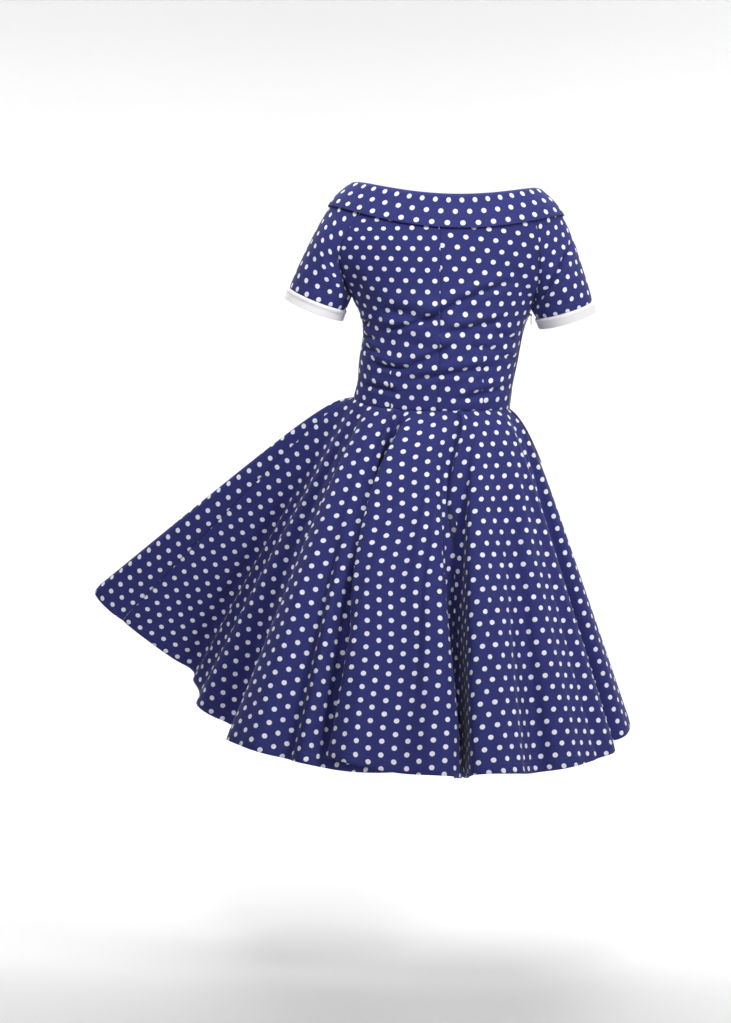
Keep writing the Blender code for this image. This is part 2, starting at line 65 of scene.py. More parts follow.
# Points closer than this are the same, and a shorter length is none
SAME = 1e-6
NO_LENGTH = 1e-12

# Cloth: the wall of one layer, how many layers thick the collar and the cuffs are, and their
# rolled edge, as a share of their wall and from what angle an edge is rounded
WALL = 0.7 * MM
COLLAR_LAYERS = 1.8
CUFF_LAYERS = 2
ROLLED_EDGE = 0.4
ROLLED_AT = math.radians(60)

# Print: how far the threads make a dot's edge wander, and half the width of its soft edge
DOT_RAGGED = 0.0005
DOT_SOFT = 0.0002

# Skirt: a full circle with a hole for the waist, cut in two halves and sewn at both sides
WAIST_RADIUS = 0.118
SKIRT_LENGTH = 0.641
SKIRT_STEPS = 40
FOLD_ROUNDING = 15.0
HIP_HEIGHT = 0.08
STEEPEST = 0.93
HEM_POINTS = 4001

# How the folds are opened row by row: the most that they may open, how often the search halves
# its range, and the least that the cloth drops in a step, as a share of the step
MOST_OPENED = 1.3
HALVINGS = 24
LEAST_DROP = 0.1

# Hem in plan, x and y, from the left side seam round the back to the right one. Each pair is a
# ridge, a valley or a turn of the cloth between them.
HEM_BACK = (
    (-589, 186), (-525, 196), (-467, 190), (-441, 136), (-436, 70), (-408, 34),
    (-370, 20), (-352, -30), (-372, -95), (-366, -150), (-330, -186), (-281, -200),
    (-236, -220), (-196, -203), (-140, -165), (-75, -128), (-25, -108), (-2, -122),
    (-14, -146), (-66, -166), (-122, -186), (-170, -204), (-192, -226), (-174, -247),
    (-130, -253), (-71, -252), (-15, -268), (14, -262), (25, -225), (28, -175),
    (36, -132), (44, -175), (46, -225), (56, -270), (85, -276), (115, -260),
    (143, -226), (172, -198), (203, -190), (236, -172), (280, -125), (314, -84),
    (306, -50), (268, -28), (262, 0), (300, 20), (348, 42), (362, 86),
)

# Hem in plan from the right side seam round the front to the left one
HEM_FRONT = (
    (358, 125), (345, 168), (280, 184), (276, 214), (322, 272), (300, 312),
    (234, 276), (201, 298), (214, 366), (174, 392), (111, 309), (72, 317),
    (62, 412), (16, 424), (-20, 321), (-61, 319), (-94, 418), (-142, 428),
    (-169, 320), (-207, 312), (-258, 400), (-304, 404), (-313, 300), (-348, 288),
    (-420, 352), (-466, 342), (-470, 268), (-505, 262), (-580, 268), (-631, 218),
    (-637, 172), (-612, 176),
)

# How far the folds stand aside halfway down, in x at angles of the cut from the centre back in
# degrees, and what brings the way that this grows and fades down the skirt to 1 at its most
SWAY = ((-90, 0), (-60, 0), (-30, -18), (-5, -45), (15, -20), (30, -8), (60, 0), (270, 0))
SWAY_SCALE = 27 / 4
WAIST_LAG = 12.0

# How far the cloth stands out just under the waist at most, at angles of the cut, as a share
# of the way to the hem
HIP_SPREAD = (
    (-90, 0.022),
    (-60, 0.03),
    (-30, 0.07),
    (0, 0.11),
    (240, 0.11),
    (255, 0.022),
    (270, 0.022),
)

# Bodice by levels from the waist to just under the collar: the edges of the panels at the
# left and right, x and z, then how far they lie behind and before the side line, how much
# further in the front armhole is cut, and the centre line of the back and front panels.
BODICE = (
    # left x, z, right x, z, edge back, front, cut in, centre x, back z, depth, front z, depth
    (-150, -372, 128, -394, 0, 0, 0, -3, -397, 86, -392, 102),
    (-143, -343, 133, -352, 0, 0, 0, -2, -356, 92, -350, 107),
    (-140, -305, 142, -308, 0, 0, 0, 0, -312, 99, -305, 113),
    (-133, -258, 150, -264, 0, 0, 0, 1, -268, 104, -262, 124),
    (-138, -226, 157, -240, 0, 0, 0, 1, -236, 106, -226, 133),
    (-153, -194, 168, -217, 0, 0, 0, 1, -204, 108, -192, 133),
    (-168, -162, 175, -184, 36, 44, 8, 1, -170, 110, -156, 129),
    (-177, -128, 177, -140, 58, 66, 18, 1, -132, 111, -120, 124),
    (-165, -92, 176, -104, 70, 82, 22, 1, -100, 110, -100, 119),
)
UNDERARM = 5
UNDER_LEVEL = 9
TOP_LEVEL = 10
SIDE_FULLNESS = 0.72

# Collar: a band folded over at its top, whose fall hangs free over the bodice and sleeves. It
# bulges outwards and leans up, most at the shoulders.
COLLAR_FALL = 61 * MM
COLLAR_STAND = 12 * MM
UNDER_EDGE = 0.9 * COLLAR_FALL
COLLAR_PROUD = 4.2 * MM
COLLAR_BULGE = 4 * MM
CENTRE_BULGE = 0.15
COLLAR_RISE = 0.6
FOLD_BEHIND = 0.0015

# The ovals of its top and lower edge. Depths and heights are at the back, right, front and left.
TOP_CENTRE = 14.5
TOP_WIDTH = 165.5
TOP_DEPTH = (97, 0, 101, 0)
TOP_Z = (-20, -2, -34, 9)
EDGE_CENTRE = 15
EDGE_WIDTH = 211
EDGE_DEPTH = (113, 0, 121, 0)
EDGE_Z = (-79, -50, -92, -33)
ARMHOLE_TURN = math.radians(48)
CENTRE_TURN = math.radians(-4.3)

# Sleeves: the side, the centre of the lower edge, how far the sleeve leans out in degrees, and
# the half widths of the sleeve's and the cuff's lower edge
ARMS = {
    "left": {"side": -1, "x": -214, "z": -197, "lean": 21.6, "half": 54.5, "cuff_half": 56},
    "right": {"side": 1, "x": 227, "z": -216, "lean": 17.5, "half": 52.5, "cuff_half": 52},
}

# Their depth for their width, how full they are, how far forward they lie and lean (in degrees),
# and the length over which the cloth's direction at the collar is taken
SLEEVE_DEPTH = 1.08
SLEEVE_BULGE = 0.75
SLEEVE_Y = 6 * MM
SLEEVE_FORWARD = 8.0
LEAVES_OVER = 5 * MM
CUFF_LENGTH = 20 * MM

# Rings of a cuff: which half width, how far out of it, and how far down
CUFF_RINGS = (
    ("half", -0.9, 0),
    ("half", 0.9, 0.0016),
    ("half", 1.5, 0.5 * CUFF_LENGTH),
    ("cuff_half", 1, CUFF_LENGTH),
)

# How finely the cloth is divided
BODICE_COLUMNS = 60
BODICE_ROWS = 150
SKIRT_COLUMNS = 480
SKIRT_ROWS = 80
SLEEVE_COLUMNS = 120
SLEEVE_ROWS = 60
SLEEVE_ROWS_BELOW = 12
COLLAR_COLUMNS = 360
COLLAR_ROWS = 36
CUFF_COLUMNS = 150
CUFF_ROWS = 14

# Waist darts of the back and front: where they stand, their top, how much cloth they take, how
# soon they open below the top, and how strongly they pull the cloth in beside a seam's 1
BACK_DARTS = {-1: -84, 1: 78}
FRONT_DARTS = {-1: -70, 1: 66}
DART_TOP = -246
DART_TAKES = 18
DART_OPENS = 1.15
DART_STARTS = 4
DART_PULL = 0.8

# How strongly the seams at the edges of each panel pull the cloth in
PANEL_SEAMS = {
    "bodice_back_left": {"first": 1, "bottom": 0.15},
    "bodice_back_right": {"last": 1, "bottom": 0.15},
    "bodice_front": {"first": 1, "last": 1, "bottom": 0.5},
    "skirt": {"first": 0.5, "last": 0.5, "top": 0.15},
    "sleeve": {"first": 1, "last": 1, "bottom": 1},
}

# Creases as seen from behind: from x and z to x and z, how far the line bows sideways, its
# width and its depth. The first stand on the back of the bodice, from the strongest down.
BACK_CREASES = (
    (-118, -257, 22, -217, -9, 5.0, 7.0),
    (-25, -240, 142, -168, 6, 5.4, 6.6),
    (12, -257, 122, -233, -3, 4.6, 6.8),
    (-118, -214, 8, -240, -3, 9.0, 6.5),
    (-4, -264, 66, -258, 0, 8.0, 5.0),
    (46, -285, 116, -291, 0, 5.0, 3.8),
    (-124, -307, -38, -319, -9, 5.0, 6.8),
    (-62, -322, 36, -274, -3, 5.4, 6.4),
    (-72, -347, 114, -316, 0, 5.0, 6.8),
    (-138, -351, -66, -369, 3, 4.6, 5.2),
    (22, -380, 134, -350, -1, 5.6, 7.2),
    (-140, -284, -98, -296, 0, 4.0, 4.6),
    (-140, -262, -108, -272, 1, 3.5, 4.0),
    (-144, -238, -112, -244, 1, 3.5, 4.0),
    (121, -136, 161, -211, 3, 9.0, 3.6),
    (-152, -136, -135, -202, -3, 8.0, 3.6),
    (-60, -276, 20, -290, -4, 8.0, 3.2),
    (96, -262, 140, -272, 2, 4.0, 4.0),
    (104, -300, 142, -306, 1, 4.0, 4.0),
)

# The same on the front, which is hidden: soft pulls under the bust and across the waist
FRONT_CREASES = (
    (-130, -228, -50, -252, 4, 7.0, 3.5),
    (132, -240, 52, -258, -4, 7.0, 3.5),
    (-128, -290, 10, -300, -5, 5.0, 2.9),
    (-20, -318, 118, -306, 4, 5.0, 2.6),
    (-132, -345, -20, -352, 3, 4.5, 3.5),
    (8, -360, 118, -348, -3, 4.5, 3.7),
    (-118, -150, -95, -215, 4, 9.0, 3.1),
    (120, -160, 98, -222, -4, 9.0, 3.1),
)

# Creases of each sleeve, on the side that faces the back and then on the one that faces front
SLEEVE_CREASES = {
    (-1, "back"): (
        (-176, -122, -158, -188, 2, 5.0, 6.0),
        (-190, -110, -174, -178, -4, 8.0, 3.0),
        (-232, -120, -196, -190, 5, 12.0, 1.2),
    ),
    (-1, "front"): ((-178, -120, -160, -184, 3, 7.0, 2.4), (-225, -110, -190, -180, 5, 12.0, 1.3)),
    (1, "back"): (
        (240, -90, 170, -213, 5, 3.8, 9.0),
        (226, -140, 192, -205, 3, 8.0, 3.0),
        (250, -130, 226, -198, 4, 12.0, 1.1),
    ),
    (1, "front"): ((216, -110, 176, -205, 3, 7.0, 2.6), (246, -120, 214, -195, 5, 12.0, 1.3)),
}

# Section of a crease: the share of its length over which it fades in and out, then the ridges
# above and below its trough, each by how far off it is and how wide, both in widths of the
# trough, and how high. What a crease adds to the length is eased back over so many rows.
CREASE_FADE = 0.3
CREASE_RIDGES = ((2.4, 1.7, 0.6), (-2.0, 1.3, 0.25))
EASED_ROWS = 22

# Where creases fade towards a seam: within this of the side line, of the line between a
# sleeve's back and front, of the sleeve's hem and of the skirt's side seams
SIDE_FADE = 9 * MM
FACE_FADE = 14 * MM
CUFF_FADE = 0.012
SEAM_FADE = 0.01

# Small folds of the skirt between its large ones: the angle of the cut in degrees at their top
# and at the hem, where they start down the cloth and end, as shares of its length, how wide
# they are in degrees and how deep in millimetres. One with a negative depth is a ridge.
SKIRT_FOLDS = (
    (-81, -78, 0.25, 1.30, 1.4, 8.0),
    (-74, -67, 0.30, 1.40, 1.6, -3.0),
    (-67, -62, 0.02, 1.30, 2.2, 11.0),
    (-45.5, -42, 0.10, 1.40, 1.8, -4.0),
    (-39.5, -38, 0.30, 1.40, 1.4, 8.0),
    (-33.5, -32, 0.40, 1.30, 1.0, 3.5),
    (-33, -34, -0.10, 0.62, 2.4, -22.0),
    (-1, 1, 0.10, 1.20, 1.4, 4.5),
    (5, 6.5, 0.15, 1.30, 1.2, -3.5),
    (9.5, 10, 0.05, 0.60, 0.9, 3.2),
    (13, 15, 0.15, 0.95, 1.0, 4.0),
    (16, 23.5, 0.15, 1.40, 2.0, -5.0),
    (24.5, 30, -0.10, 0.62, 2.6, -20.0),
    (16.5, 26, 0.07, 0.75, 0.7, 5.0),
    (43.5, 43.5, 0.30, 1.20, 1.0, 3.4),
    (46.5, 48.5, 0.30, 1.40, 1.2, -3.2),
    (52, 53, 0.15, 1.40, 1.3, 6.5),
    (56, 57.5, 0.05, 1.30, 1.6, -3.0),
    (61.5, 63.5, 0.02, 1.30, 1.0, 3.4),
    (79.5, 79, 0.02, 1.40, 1.6, 9.0),
    (83, 82, 0.06, 0.80, 1.3, 2.4),
    (98, 99, 0.05, 0.75, 1.4, 2.4),
    (109, 111, 0.06, 0.85, 1.5, 2.6),
    (121, 120, 0.05, 0.65, 1.3, 2.4),
    (134, 136, 0.06, 0.90, 1.5, 2.8),
    (147, 146, 0.04, 0.70, 1.3, 2.2),
    (158, 160, 0.06, 0.85, 1.4, 2.6),
    (171, 170, 0.05, 0.75, 1.3, 2.2),
    (184, 186, 0.06, 0.85, 1.5, 2.6),
    (197, 196, 0.04, 0.70, 1.3, 2.4),
    (209, 211, 0.06, 0.90, 1.4, 2.6),
    (222, 221, 0.05, 0.70, 1.3, 2.4),
    (236, 238, 0.06, 0.85, 1.5, 2.8),
    (250, 249, 0.05, 0.75, 1.3, 2.2),
)

# Over what share of the skirt's length a small fold fades in and out, how its depth grows from
# the waist to the hem, and the ridge beside it: how far off, in widths of the fold, and how high
FOLD_FADES = (0.18, 0.4)
FOLD_GROWS = (0.4, 1.6)
FOLD_RIDGE = (1.9, 0.4)
HEM_PROUD = 0.0004
HEM_STEP = 0.001

# How each panel was laid on the print: its turn in degrees, its shift across and up, how much
# the cloth is eased across and up, and how far its rows bow up at 100 mm from its middle
LAID = {
    "bodice_back_left": (-0.6, 6.7, 36.0, 0.952, 1.051, -3.9),
    "bodice_back_right": (5.9, 12.2, 38.6, 0.909, 1.026, -6.6),
    "bodice_front": (1.0, 4.0, 9.0, 0.95, 1.03, -4.0),
    "collar": (4.0, 23.8, 34.5, 0.95, 0.953, -0.7),
    "sleeve_left": (1.8, 2.6, 32.2, 1.013, 0.906, 0.0),
    "sleeve_right": (2.9, 19.3, 2.3, 1.064, 0.989, 0.0),
    "skirt_back": (-49.1, 7.5, 23.1, 0.981, 0.989, -0.3),
    "skirt_front": (-41.6, 1.8, 16.5, 0.973, 0.936, -1.0),
}
LAID_PLAIN = (0, 0, 0, 1, 1, 0)
BOWED_AT = 0.1

# Zip: it runs down the right side seam from the slider, for a share of the skirt's length. The
# panels stand back from the seam to clear it, opening and closing over these heights.
ZIP_TOP = -231 * MM
ZIP_SHARE = 0.19
PLACKET = 1.5 * MM
PLACKET_OPENS = 0.006
PLACKET_CLOSES = 0.008

# Its coil: how deep it lies, how thick a turn is for its pitch, its sides, how far aside the
# cloth's direction at the seam is taken, and how far coil and tape are turned to the right
COIL_DEEP = 0.0006
COIL_ROUND = 0.42
COIL_SIDES = 6
COIL_ASIDE = 0.006
COIL_TURNED = (0.3, 0, 0)

# Its tape: how far its points lie from the seam and behind it, its wall and its threads
TAPE_WIDTHS = (0.012, 0.009, 0.006, 0.003, 0.001)
TAPE_BEHIND = 0.0022
TAPE_WALL = 0.0005
TAPE_THREAD = 0.0008

# Stitches: half their width and height, how far they stand out, how far from the seam those
# beside the zip lie, a place nearer to it that gives the cloth's direction, and the cuffs' row
STITCH_HALF = (0.00022, 0.0002)
STITCH_PROUD = 0.00005
ZIP_STITCHED = 0.006
ZIP_INSIDE = 0.004
CUFF_STITCHED = round(CUFF_ROWS * 0.86)

# Backdrop: the paper runs level, bends up and goes on straight
PAPER_LENGTH = 14
PAPER_HALF_WIDTH = 9
PAPER_START = -6
PAPER_LEVEL = 8.5
PAPER_BEND = 1.5
PAPER_STEPS = 40

# Lights: place, aim, width, spread in degrees, the setting of their power and the share of it
LIGHTS = (
    ("key light", (2.3, -2.9, 1.5), (-0.13, 0, -0.6), 0.9, 180, "key", 1),
    ("front light", (-0.3, -2.5, 2.1), (-0.12, 0, -0.1), 0.7, 32, "front", 1),
    ("top light", (-0.1, -1.1, 2.2), (-0.13, 0, -0.6), 1.2, 180, "top", 1),
    ("left backdrop light", (-2.6, 1.2, 0.6), (-0.13, 4, -0.2), 1.2, 180, "back", 1),
    ("right backdrop light", (2.4, 1.2, 0.6), (-0.13, 4, -0.2), 1.2, 180, "back", 1),
    ("rear floor light", (-0.13, 0.9, 1.5), (-0.13, 0.4, -1.46), 2.4, 180, "floor_light", 1),
    ("front floor light", (-0.1, -2.7, 1.2), (-0.1, -2.2, -1.5), 2.4, 180, "floor_light", 0.15),
)

# Camera: behind the dress at the height of its waist, looking a little downwards
CAMERA_PLACE = (-0.1287, -3.7, -0.35)
CAMERA_AIM = (-0.1287, 0, -0.579)


def smooth(keys, rows, at):
    """Values at the keys at on a smooth curve through rows, whose own keys are given."""
    keys = np.asarray(keys, float)
    rows = np.asarray(rows, float)
    at = np.asarray(at, float)
    slope = np.gradient(rows, keys, axis=0)
    i = np.clip(np.searchsorted(keys, at, side="right") - 1, 0, len(keys) - 2)
    shape = (len(at),) + (1,) * (rows.ndim - 1)
    step = (keys[i + 1] - keys[i]).reshape(shape)
    f = ((at - keys[i]) / step.ravel()).reshape(shape)
    start = rows[i] * (1 + 2 * f) * (1 - f) ** 2 + slope[i] * step * f * (1 - f) ** 2
    end = rows[i + 1] * f**2 * (3 - 2 * f) - slope[i + 1] * step * f**2 * (1 - f)
    return start + end


def unit(vectors):
    """The vectors at length 1."""
    return vectors / np.linalg.norm(vectors, axis=-1, keepdims=True)


def run_length(points):
    """The length along the points from the first to each one."""
    steps = np.linalg.norm(np.diff(points, axis=0), axis=-1)
    return np.concatenate([[0], np.cumsum(steps)])


def at_length(points, at, keys=None):
    """Points of a line at lengths along it, or at keys when each of its points has one."""
    keys = run_length(points) if keys is None else keys
    return np.stack([np.interp(at, keys, points[:, axis]) for axis in range(points.shape[1])], -1)


def around(turn, back, right, front, left):
    """A smooth value at an angle round the body, from its values at the four sides."""
    mean = (back + right + front + left) / 4
    across = (right - left) / 2
    along = (back - front) / 2
    oval = (back + front - right - left) / 4
    return mean + across * np.sin(turn) + along * np.cos(turn) + oval * np.cos(2 * turn)


def oval_ring(turn, centre, width, depth, height):
    """Points of a level or tilted oval ring round the body, in metres."""
    back, _, front, _ = depth
    deep = np.where(np.cos(turn) > 0, back, front)
    x = centre + width * np.sin(turn)
    y = -deep * np.cos(turn)
    return np.stack([x, y, around(turn, *height)], -1) * MM


def collar_face(turn, down):
    """The collar's outer face at an angle round the body and a length down from its top."""
    top = oval_ring(turn, TOP_CENTRE, TOP_WIDTH, TOP_DEPTH, TOP_Z)
    edge = oval_ring(turn, EDGE_CENTRE, EDGE_WIDTH, EDGE_DEPTH, EDGE_Z)
    share = down / COLLAR_FALL
    out = unit(np.stack([np.sin(turn), -np.cos(turn), COLLAR_RISE + 0 * turn], -1))
    side = np.sin(turn)[..., None] ** 2
    rise = 4 * COLLAR_BULGE * share * (1 - share)
    bulge = rise * (CENTRE_BULGE + (1 - CENTRE_BULGE) * side)
    return top + (edge - top) * share + out * bulge


def under_collar(turn, down, depth):
    """A point at the given depth behind the collar's outer face."""
    turn = np.asarray(turn, float)
    nudge = 1e-4
    round_body = collar_face(turn + nudge, down) - collar_face(turn - nudge, down)
    downward = collar_face(turn, down + nudge) - collar_face(turn, down - nudge)
    inward = unit(np.cross(round_body, downward))
    return collar_face(turn, down) + inward * depth


def bodice_sections(side, is_front):
    """Rows of points of half a panel, from its centre line to its edge, level by level."""
    share = np.linspace(0, 1, BODICE_COLUMNS + 1)
    sections = []
    for row in BODICE:
        left_x, left_z, right_x, right_z, back_y, front_y, cut_in, centre = row[:8]
        centre_z, depth = row[10:12] if is_front else row[8:10]
        edge_x, edge_z = (left_x, left_z) if side < 0 else (right_x, right_z)
        edge_y = front_y if is_front else back_y
        if is_front:
            edge_x -= side * cut_in
        edge_turn = math.acos(edge_y / depth)
        turn = edge_turn * share
        wide = (edge_x - centre) / math.sin(edge_turn)
        squared = np.cos(turn) ** (SIDE_FULLNESS if is_front and edge_y == 0 else 1)
        x = centre + wide * np.sin(turn)
        y = depth * squared * (1 if is_front else -1)
        z = centre_z + (edge_z - centre_z) * share**2
        sections.append(np.stack([x, y, z], -1) * MM)
    for down in (UNDER_EDGE, COLLAR_STAND):
        turn = CENTRE_TURN + (side * ARMHOLE_TURN - CENTRE_TURN) * share
        if is_front:
            turn = math.pi - turn
        sections.append(under_collar(turn, down, COLLAR_PROUD))
    return np.array(sections)


def bodice_panel(side, is_front, levels):
    """Half a bodice panel as a grid [row, column] at the levels, from the centre line out."""
    sections = bodice_sections(side, is_front)
    grid = smooth(np.arange(len(sections)), sections, levels)
    y = grid[..., 1]
    grid[..., 1] = np.maximum(y, 0) if is_front else np.minimum(y, 0)
    return grid


def waist_line(angles):
    """The waist seam at angles of the skirt's cut, in degrees from the centre back."""
    half = [bodice_sections(side, face)[0] for side in (-1, 1) for face in (False, True)]
    left_back, left_front, right_back, right_front = half
    back = np.concatenate([left_back[::-1], right_back[1:]])
    front = np.concatenate([right_front[::-1], left_front[1:]])
    cut = []
    points = []
    for start, line in ((-90, back), (90, front)):
        length = run_length(line)
        cut.append(start + 180 * length / length[-1])
        points.append(line)
    keys = np.concatenate([cut[0], cut[1][1:]])
    line = np.concatenate([points[0], points[1][1:]])
    lag = WAIST_LAG * np.where(angles < 90, np.cos(np.radians(angles)) ** 2, 0)
    return smooth(keys, line, angles - lag)


def hem_line(angles):
    """The hem in plan at angles of the cut, which follow its length from seam to seam."""
    plan = np.array(HEM_BACK + HEM_FRONT + HEM_BACK[:3], float) * MM
    keys = run_length(plan)
    fine = np.linspace(0, keys[len(HEM_BACK) + len(HEM_FRONT)], HEM_POINTS)
    curve = smooth(keys, plan, fine)
    length = run_length(curve)
    seam = np.interp(keys[len(HEM_BACK)], fine, length)
    back = np.minimum(length, seam) / seam
    front = np.maximum(length - seam, 0) / (length[-1] - seam)
    cut = -90 + 180 * back + 180 * front
    return at_length(curve, angles, cut)


def rounded(values, angles, width):
    """A closed curve with its folds rounded away over the given width in degrees."""
    apart = np.abs(angles[:, None] - angles[None, :])
    apart = np.minimum(apart, 360 - apart)
    weight = np.exp(-0.5 * (apart / width) ** 2)
    return weight @ values / weight.sum(1, keepdims=True)


def skirt_surface(angles):
    """The skirt as a grid [step, column]: each column hangs from the waist at its cut length.

    Between the waist and the hem the folds open so that each row has the length of its cut.
    """
    waist = waist_line(angles)
    hem = hem_line(angles)
    base = rounded(hem, angles, FOLD_ROUNDING)
    fold = hem - base
    step = SKIRT_LENGTH / SKIRT_STEPS
    reach = np.linalg.norm(base - waist[:, :2], axis=1)
    spread = HIP_HEIGHT * (STEEPEST * SKIRT_LENGTH / reach - 1)
    spread = np.clip(spread, 0, np.interp(angles, *np.transpose(HIP_SPREAD)))
    sway = np.interp(angles, *np.transpose(SWAY)) * MM
    sway = np.stack([sway, 0 * sway], -1)
    at = waist[:, :2]
    height = waist[:, 2]
    grid = [waist]
    for row in range(1, SKIRT_STEPS + 1):
        share = row / SKIRT_STEPS
        out = share + spread * (1 - math.exp(-share / HIP_HEIGHT)) * (1 - share)
        plain = waist[:, :2] + (base - waist[:, :2]) * out[:, None]
        plain = plain + sway * (SWAY_SCALE * share * (1 - share) ** 2)
        target = 2 * math.pi * (WAIST_RADIUS + share * SKIRT_LENGTH)
        low, high = 0.0, MOST_OPENED
        for _ in range(HALVINGS):
            opened = (low + high) / 2
            trial = plain + fold * opened
            drop = hanging(trial - at, step)
            if row_length(trial, height - drop) > target:
                high = opened
            else:
                low = opened
        if row == SKIRT_STEPS:
            trial = hem
            drop = hanging(trial - at, step)
        at = trial
        height = height - drop
        grid.append(np.column_stack([at, height]))
    return np.array(grid)


def hanging(moves, step):
    """How far the cloth drops in one step along its cut while it moves out by moves."""
    flat = np.linalg.norm(moves, axis=1)
    return np.sqrt(np.maximum(step**2 - flat**2, (LEAST_DROP * step) ** 2))


def row_length(plan, height):
    """The length of a closed row of points."""
    ring = np.column_stack([plan, height])
    return np.linalg.norm(np.diff(ring, axis=0), axis=1).sum()


def sleeve_axes(arm):
    """The sleeve's direction across, down along the arm and towards the front."""
    lean = math.radians(arm["lean"]) * arm["side"]
    forward = math.radians(SLEEVE_FORWARD)
    down = np.array([math.sin(lean), math.sin(forward), -math.cos(lean) * math.cos(forward)])
    down = unit(down)
    front = unit(np.array([0, 1, 0]) - down * down[1])
    across = np.cross(front, down)
    if across[0] * arm["side"] < 0:
        across = -across
    return across, down, front


def sleeve_ring(arm, turn, half, down_by):
    """A ring round the arm at its lower edge, or lower down by the given length."""
    across, down, front = sleeve_axes(arm)
    centre = np.array([arm["x"] * MM, SLEEVE_Y, arm["z"] * MM]) + down * down_by
    wide = across * (half * MM)
    deep = front * (half * SLEEVE_DEPTH * MM)
    return centre + np.cos(turn)[:, None] * wide + np.sin(turn)[:, None] * deep


def sleeve_surface(arm, levels, columns, rows_below):
    """The sleeve as a grid [row, column] from the neckline to its hem.

    Its columns go from the back armhole round the outside of the arm to the front armhole,
    and below the underarm the first and last of them meet.
    """
    side = arm["side"]
    share = np.linspace(0, 1, columns + 1)
    turn = side * (ARMHOLE_TURN + (math.pi - 2 * ARMHOLE_TURN) * share)
    start = under_collar(turn, UNDER_EDGE, COLLAR_PROUD)
    leaves = unit(start - under_collar(turn, UNDER_EDGE - LEAVES_OVER, COLLAR_PROUD))
    hem = sleeve_ring(arm, math.pi * (2 * share - 1), arm["half"], 0)
    arriving = sleeve_axes(arm)[1]
    apart = np.linalg.norm(hem - start, axis=1, keepdims=True) * SLEEVE_BULGE
    back = bodice_panel(side, False, levels)[:, -1]
    front = bodice_panel(side, True, levels)[:, -1]
    closing = np.linspace(0, 1, rows_below + 1)[1:, None]
    below = back[-1] + (hem[0] - back[-1]) * closing
    back = np.concatenate([back, below])
    front = np.concatenate([front, below])
    free = run_length(back)
    under = np.interp(UNDER_LEVEL, levels[::-1], free[: len(levels)][::-1])
    near_back = np.cos(math.pi * np.minimum(share, 0.5))[:, None] ** 2
    grid = []
    for row, length in enumerate(free):
        if row < len(levels) and levels[row] >= UNDER_LEVEL:
            down = np.interp(levels[row], (UNDER_LEVEL, TOP_LEVEL), (UNDER_EDGE, COLLAR_STAND))
            line = under_collar(turn, down, COLLAR_PROUD)
        else:
            f = (length - under) / (free[-1] - under)
            line = start * (1 + 2 * f) * (1 - f) ** 2 + leaves * apart * f * (1 - f) ** 2
            line = line + hem * f**2 * (3 - 2 * f) - arriving * apart * f**2 * (1 - f)
        line = line + (back[row] - line[0]) * near_back
        grid.append(line + (front[row] - line[-1]) * near_back[::-1])
    return np.array(grid)


def linear(colour):
    """The linear colour of an sRGB hex value."""
    parts = [int(colour[i : i + 2], 16) / 255 for i in (1, 3, 5)]
    return tuple(c / 12.92 if c <= 0.04045 else ((c + 0.055) / 1.055) ** 2.4 for c in parts)


def size(name, description, default, low=0.0, high=10.0):
    """A length that a user may change."""
    return FloatProperty(
        name=name,
        description=description,
        default=default,
        min=low,
        max=high,
        unit="LENGTH",
        precision=4,
    )


def colour(name, description, default):
    """A colour that a user may change, given as sRGB hex."""
    return FloatVectorProperty(
        name=name,
        description=description,
        default=linear(default),
        size=3,
        min=0,
        max=1,
        subtype="COLOR",
    )


def power(name, lamp, default):
    """A lamp's power that a user may change."""
    return FloatProperty(name=name, description="Power of " + lamp, default=default, unit="POWER")


class ClothSettings(bpy.types.PropertyGroup):
    """The printed cotton and the white cotton"""

    navy: colour("Ground", "Dyed ground of the print", "#303472")
    wrong: colour("Wrong side", "Back of the printed cloth", "#2C2F57")
    dots: colour("Dots", "White of the printed dots", "#ECECF5")
    white: colour("Cuffs", "White cotton of the cuffs", "#F0EEF0")
    wall: size("Thickness", "Thickness of one layer", WALL, 0.0002, 0.003)
    dot: size("Dot", "Diameter of a dot", 0.0086, 0.001, 0.1)
    spacing: size("Spacing", "From dot to dot in a row", 0.0242, 0.002, 0.2)
    row: size("Row", "From one row of dots to the next", 0.0196, 0.002, 0.2)
    thread: size("Weave", "Thread to thread, drawn coarser than the real 0.3 mm", 0.0009, 0.0001)


class SewingSettings(bpy.types.PropertyGroup):
    """Seams, stitches and the depth of the creases"""

    crease: FloatProperty(
        name="Creases", description="Strength of the creases", default=1.0, min=0, max=3
    )
    seam_depth: size("Seam depth", "How far a seam is pulled in", 0.0011, 0, 0.01)
    seam_width: size("Seam width", "How wide the groove of a seam is", 0.0026, 0.0005, 0.02)
    stitch: size("Stitch", "Length of a stitch", 0.0022, 0.0005, 0.02)
    pitch: size("Stitch pitch", "From stitch to stitch", 0.003, 0.001, 0.02)
    hem: size("Hem", "Depth of the skirt's hem", 0.018, 0.002, 0.1)
    navy_thread: colour("Navy thread", "Thread of the hem and the zip", "#363B72")
    white_thread: colour("White thread", "Thread of the cuffs", "#E9E7EA")


class ZipSettings(bpy.types.PropertyGroup):
    """The coil zip in the right side seam"""

    pitch: size("Coil pitch", "From one turn of the coil to the next", 0.00125, 0.0005, 0.01)
    width: size("Coil width", "Width of the closed coil", 0.0034, 0.001, 0.02)
    coil: colour("Coil", "Nylon of the coil", "#2B2F58")
    tape: colour("Tape", "Woven tape", "#2B2F5C")
    metal: colour("Metal", "Plated metal of the slider and its pull", "#4C4D52")


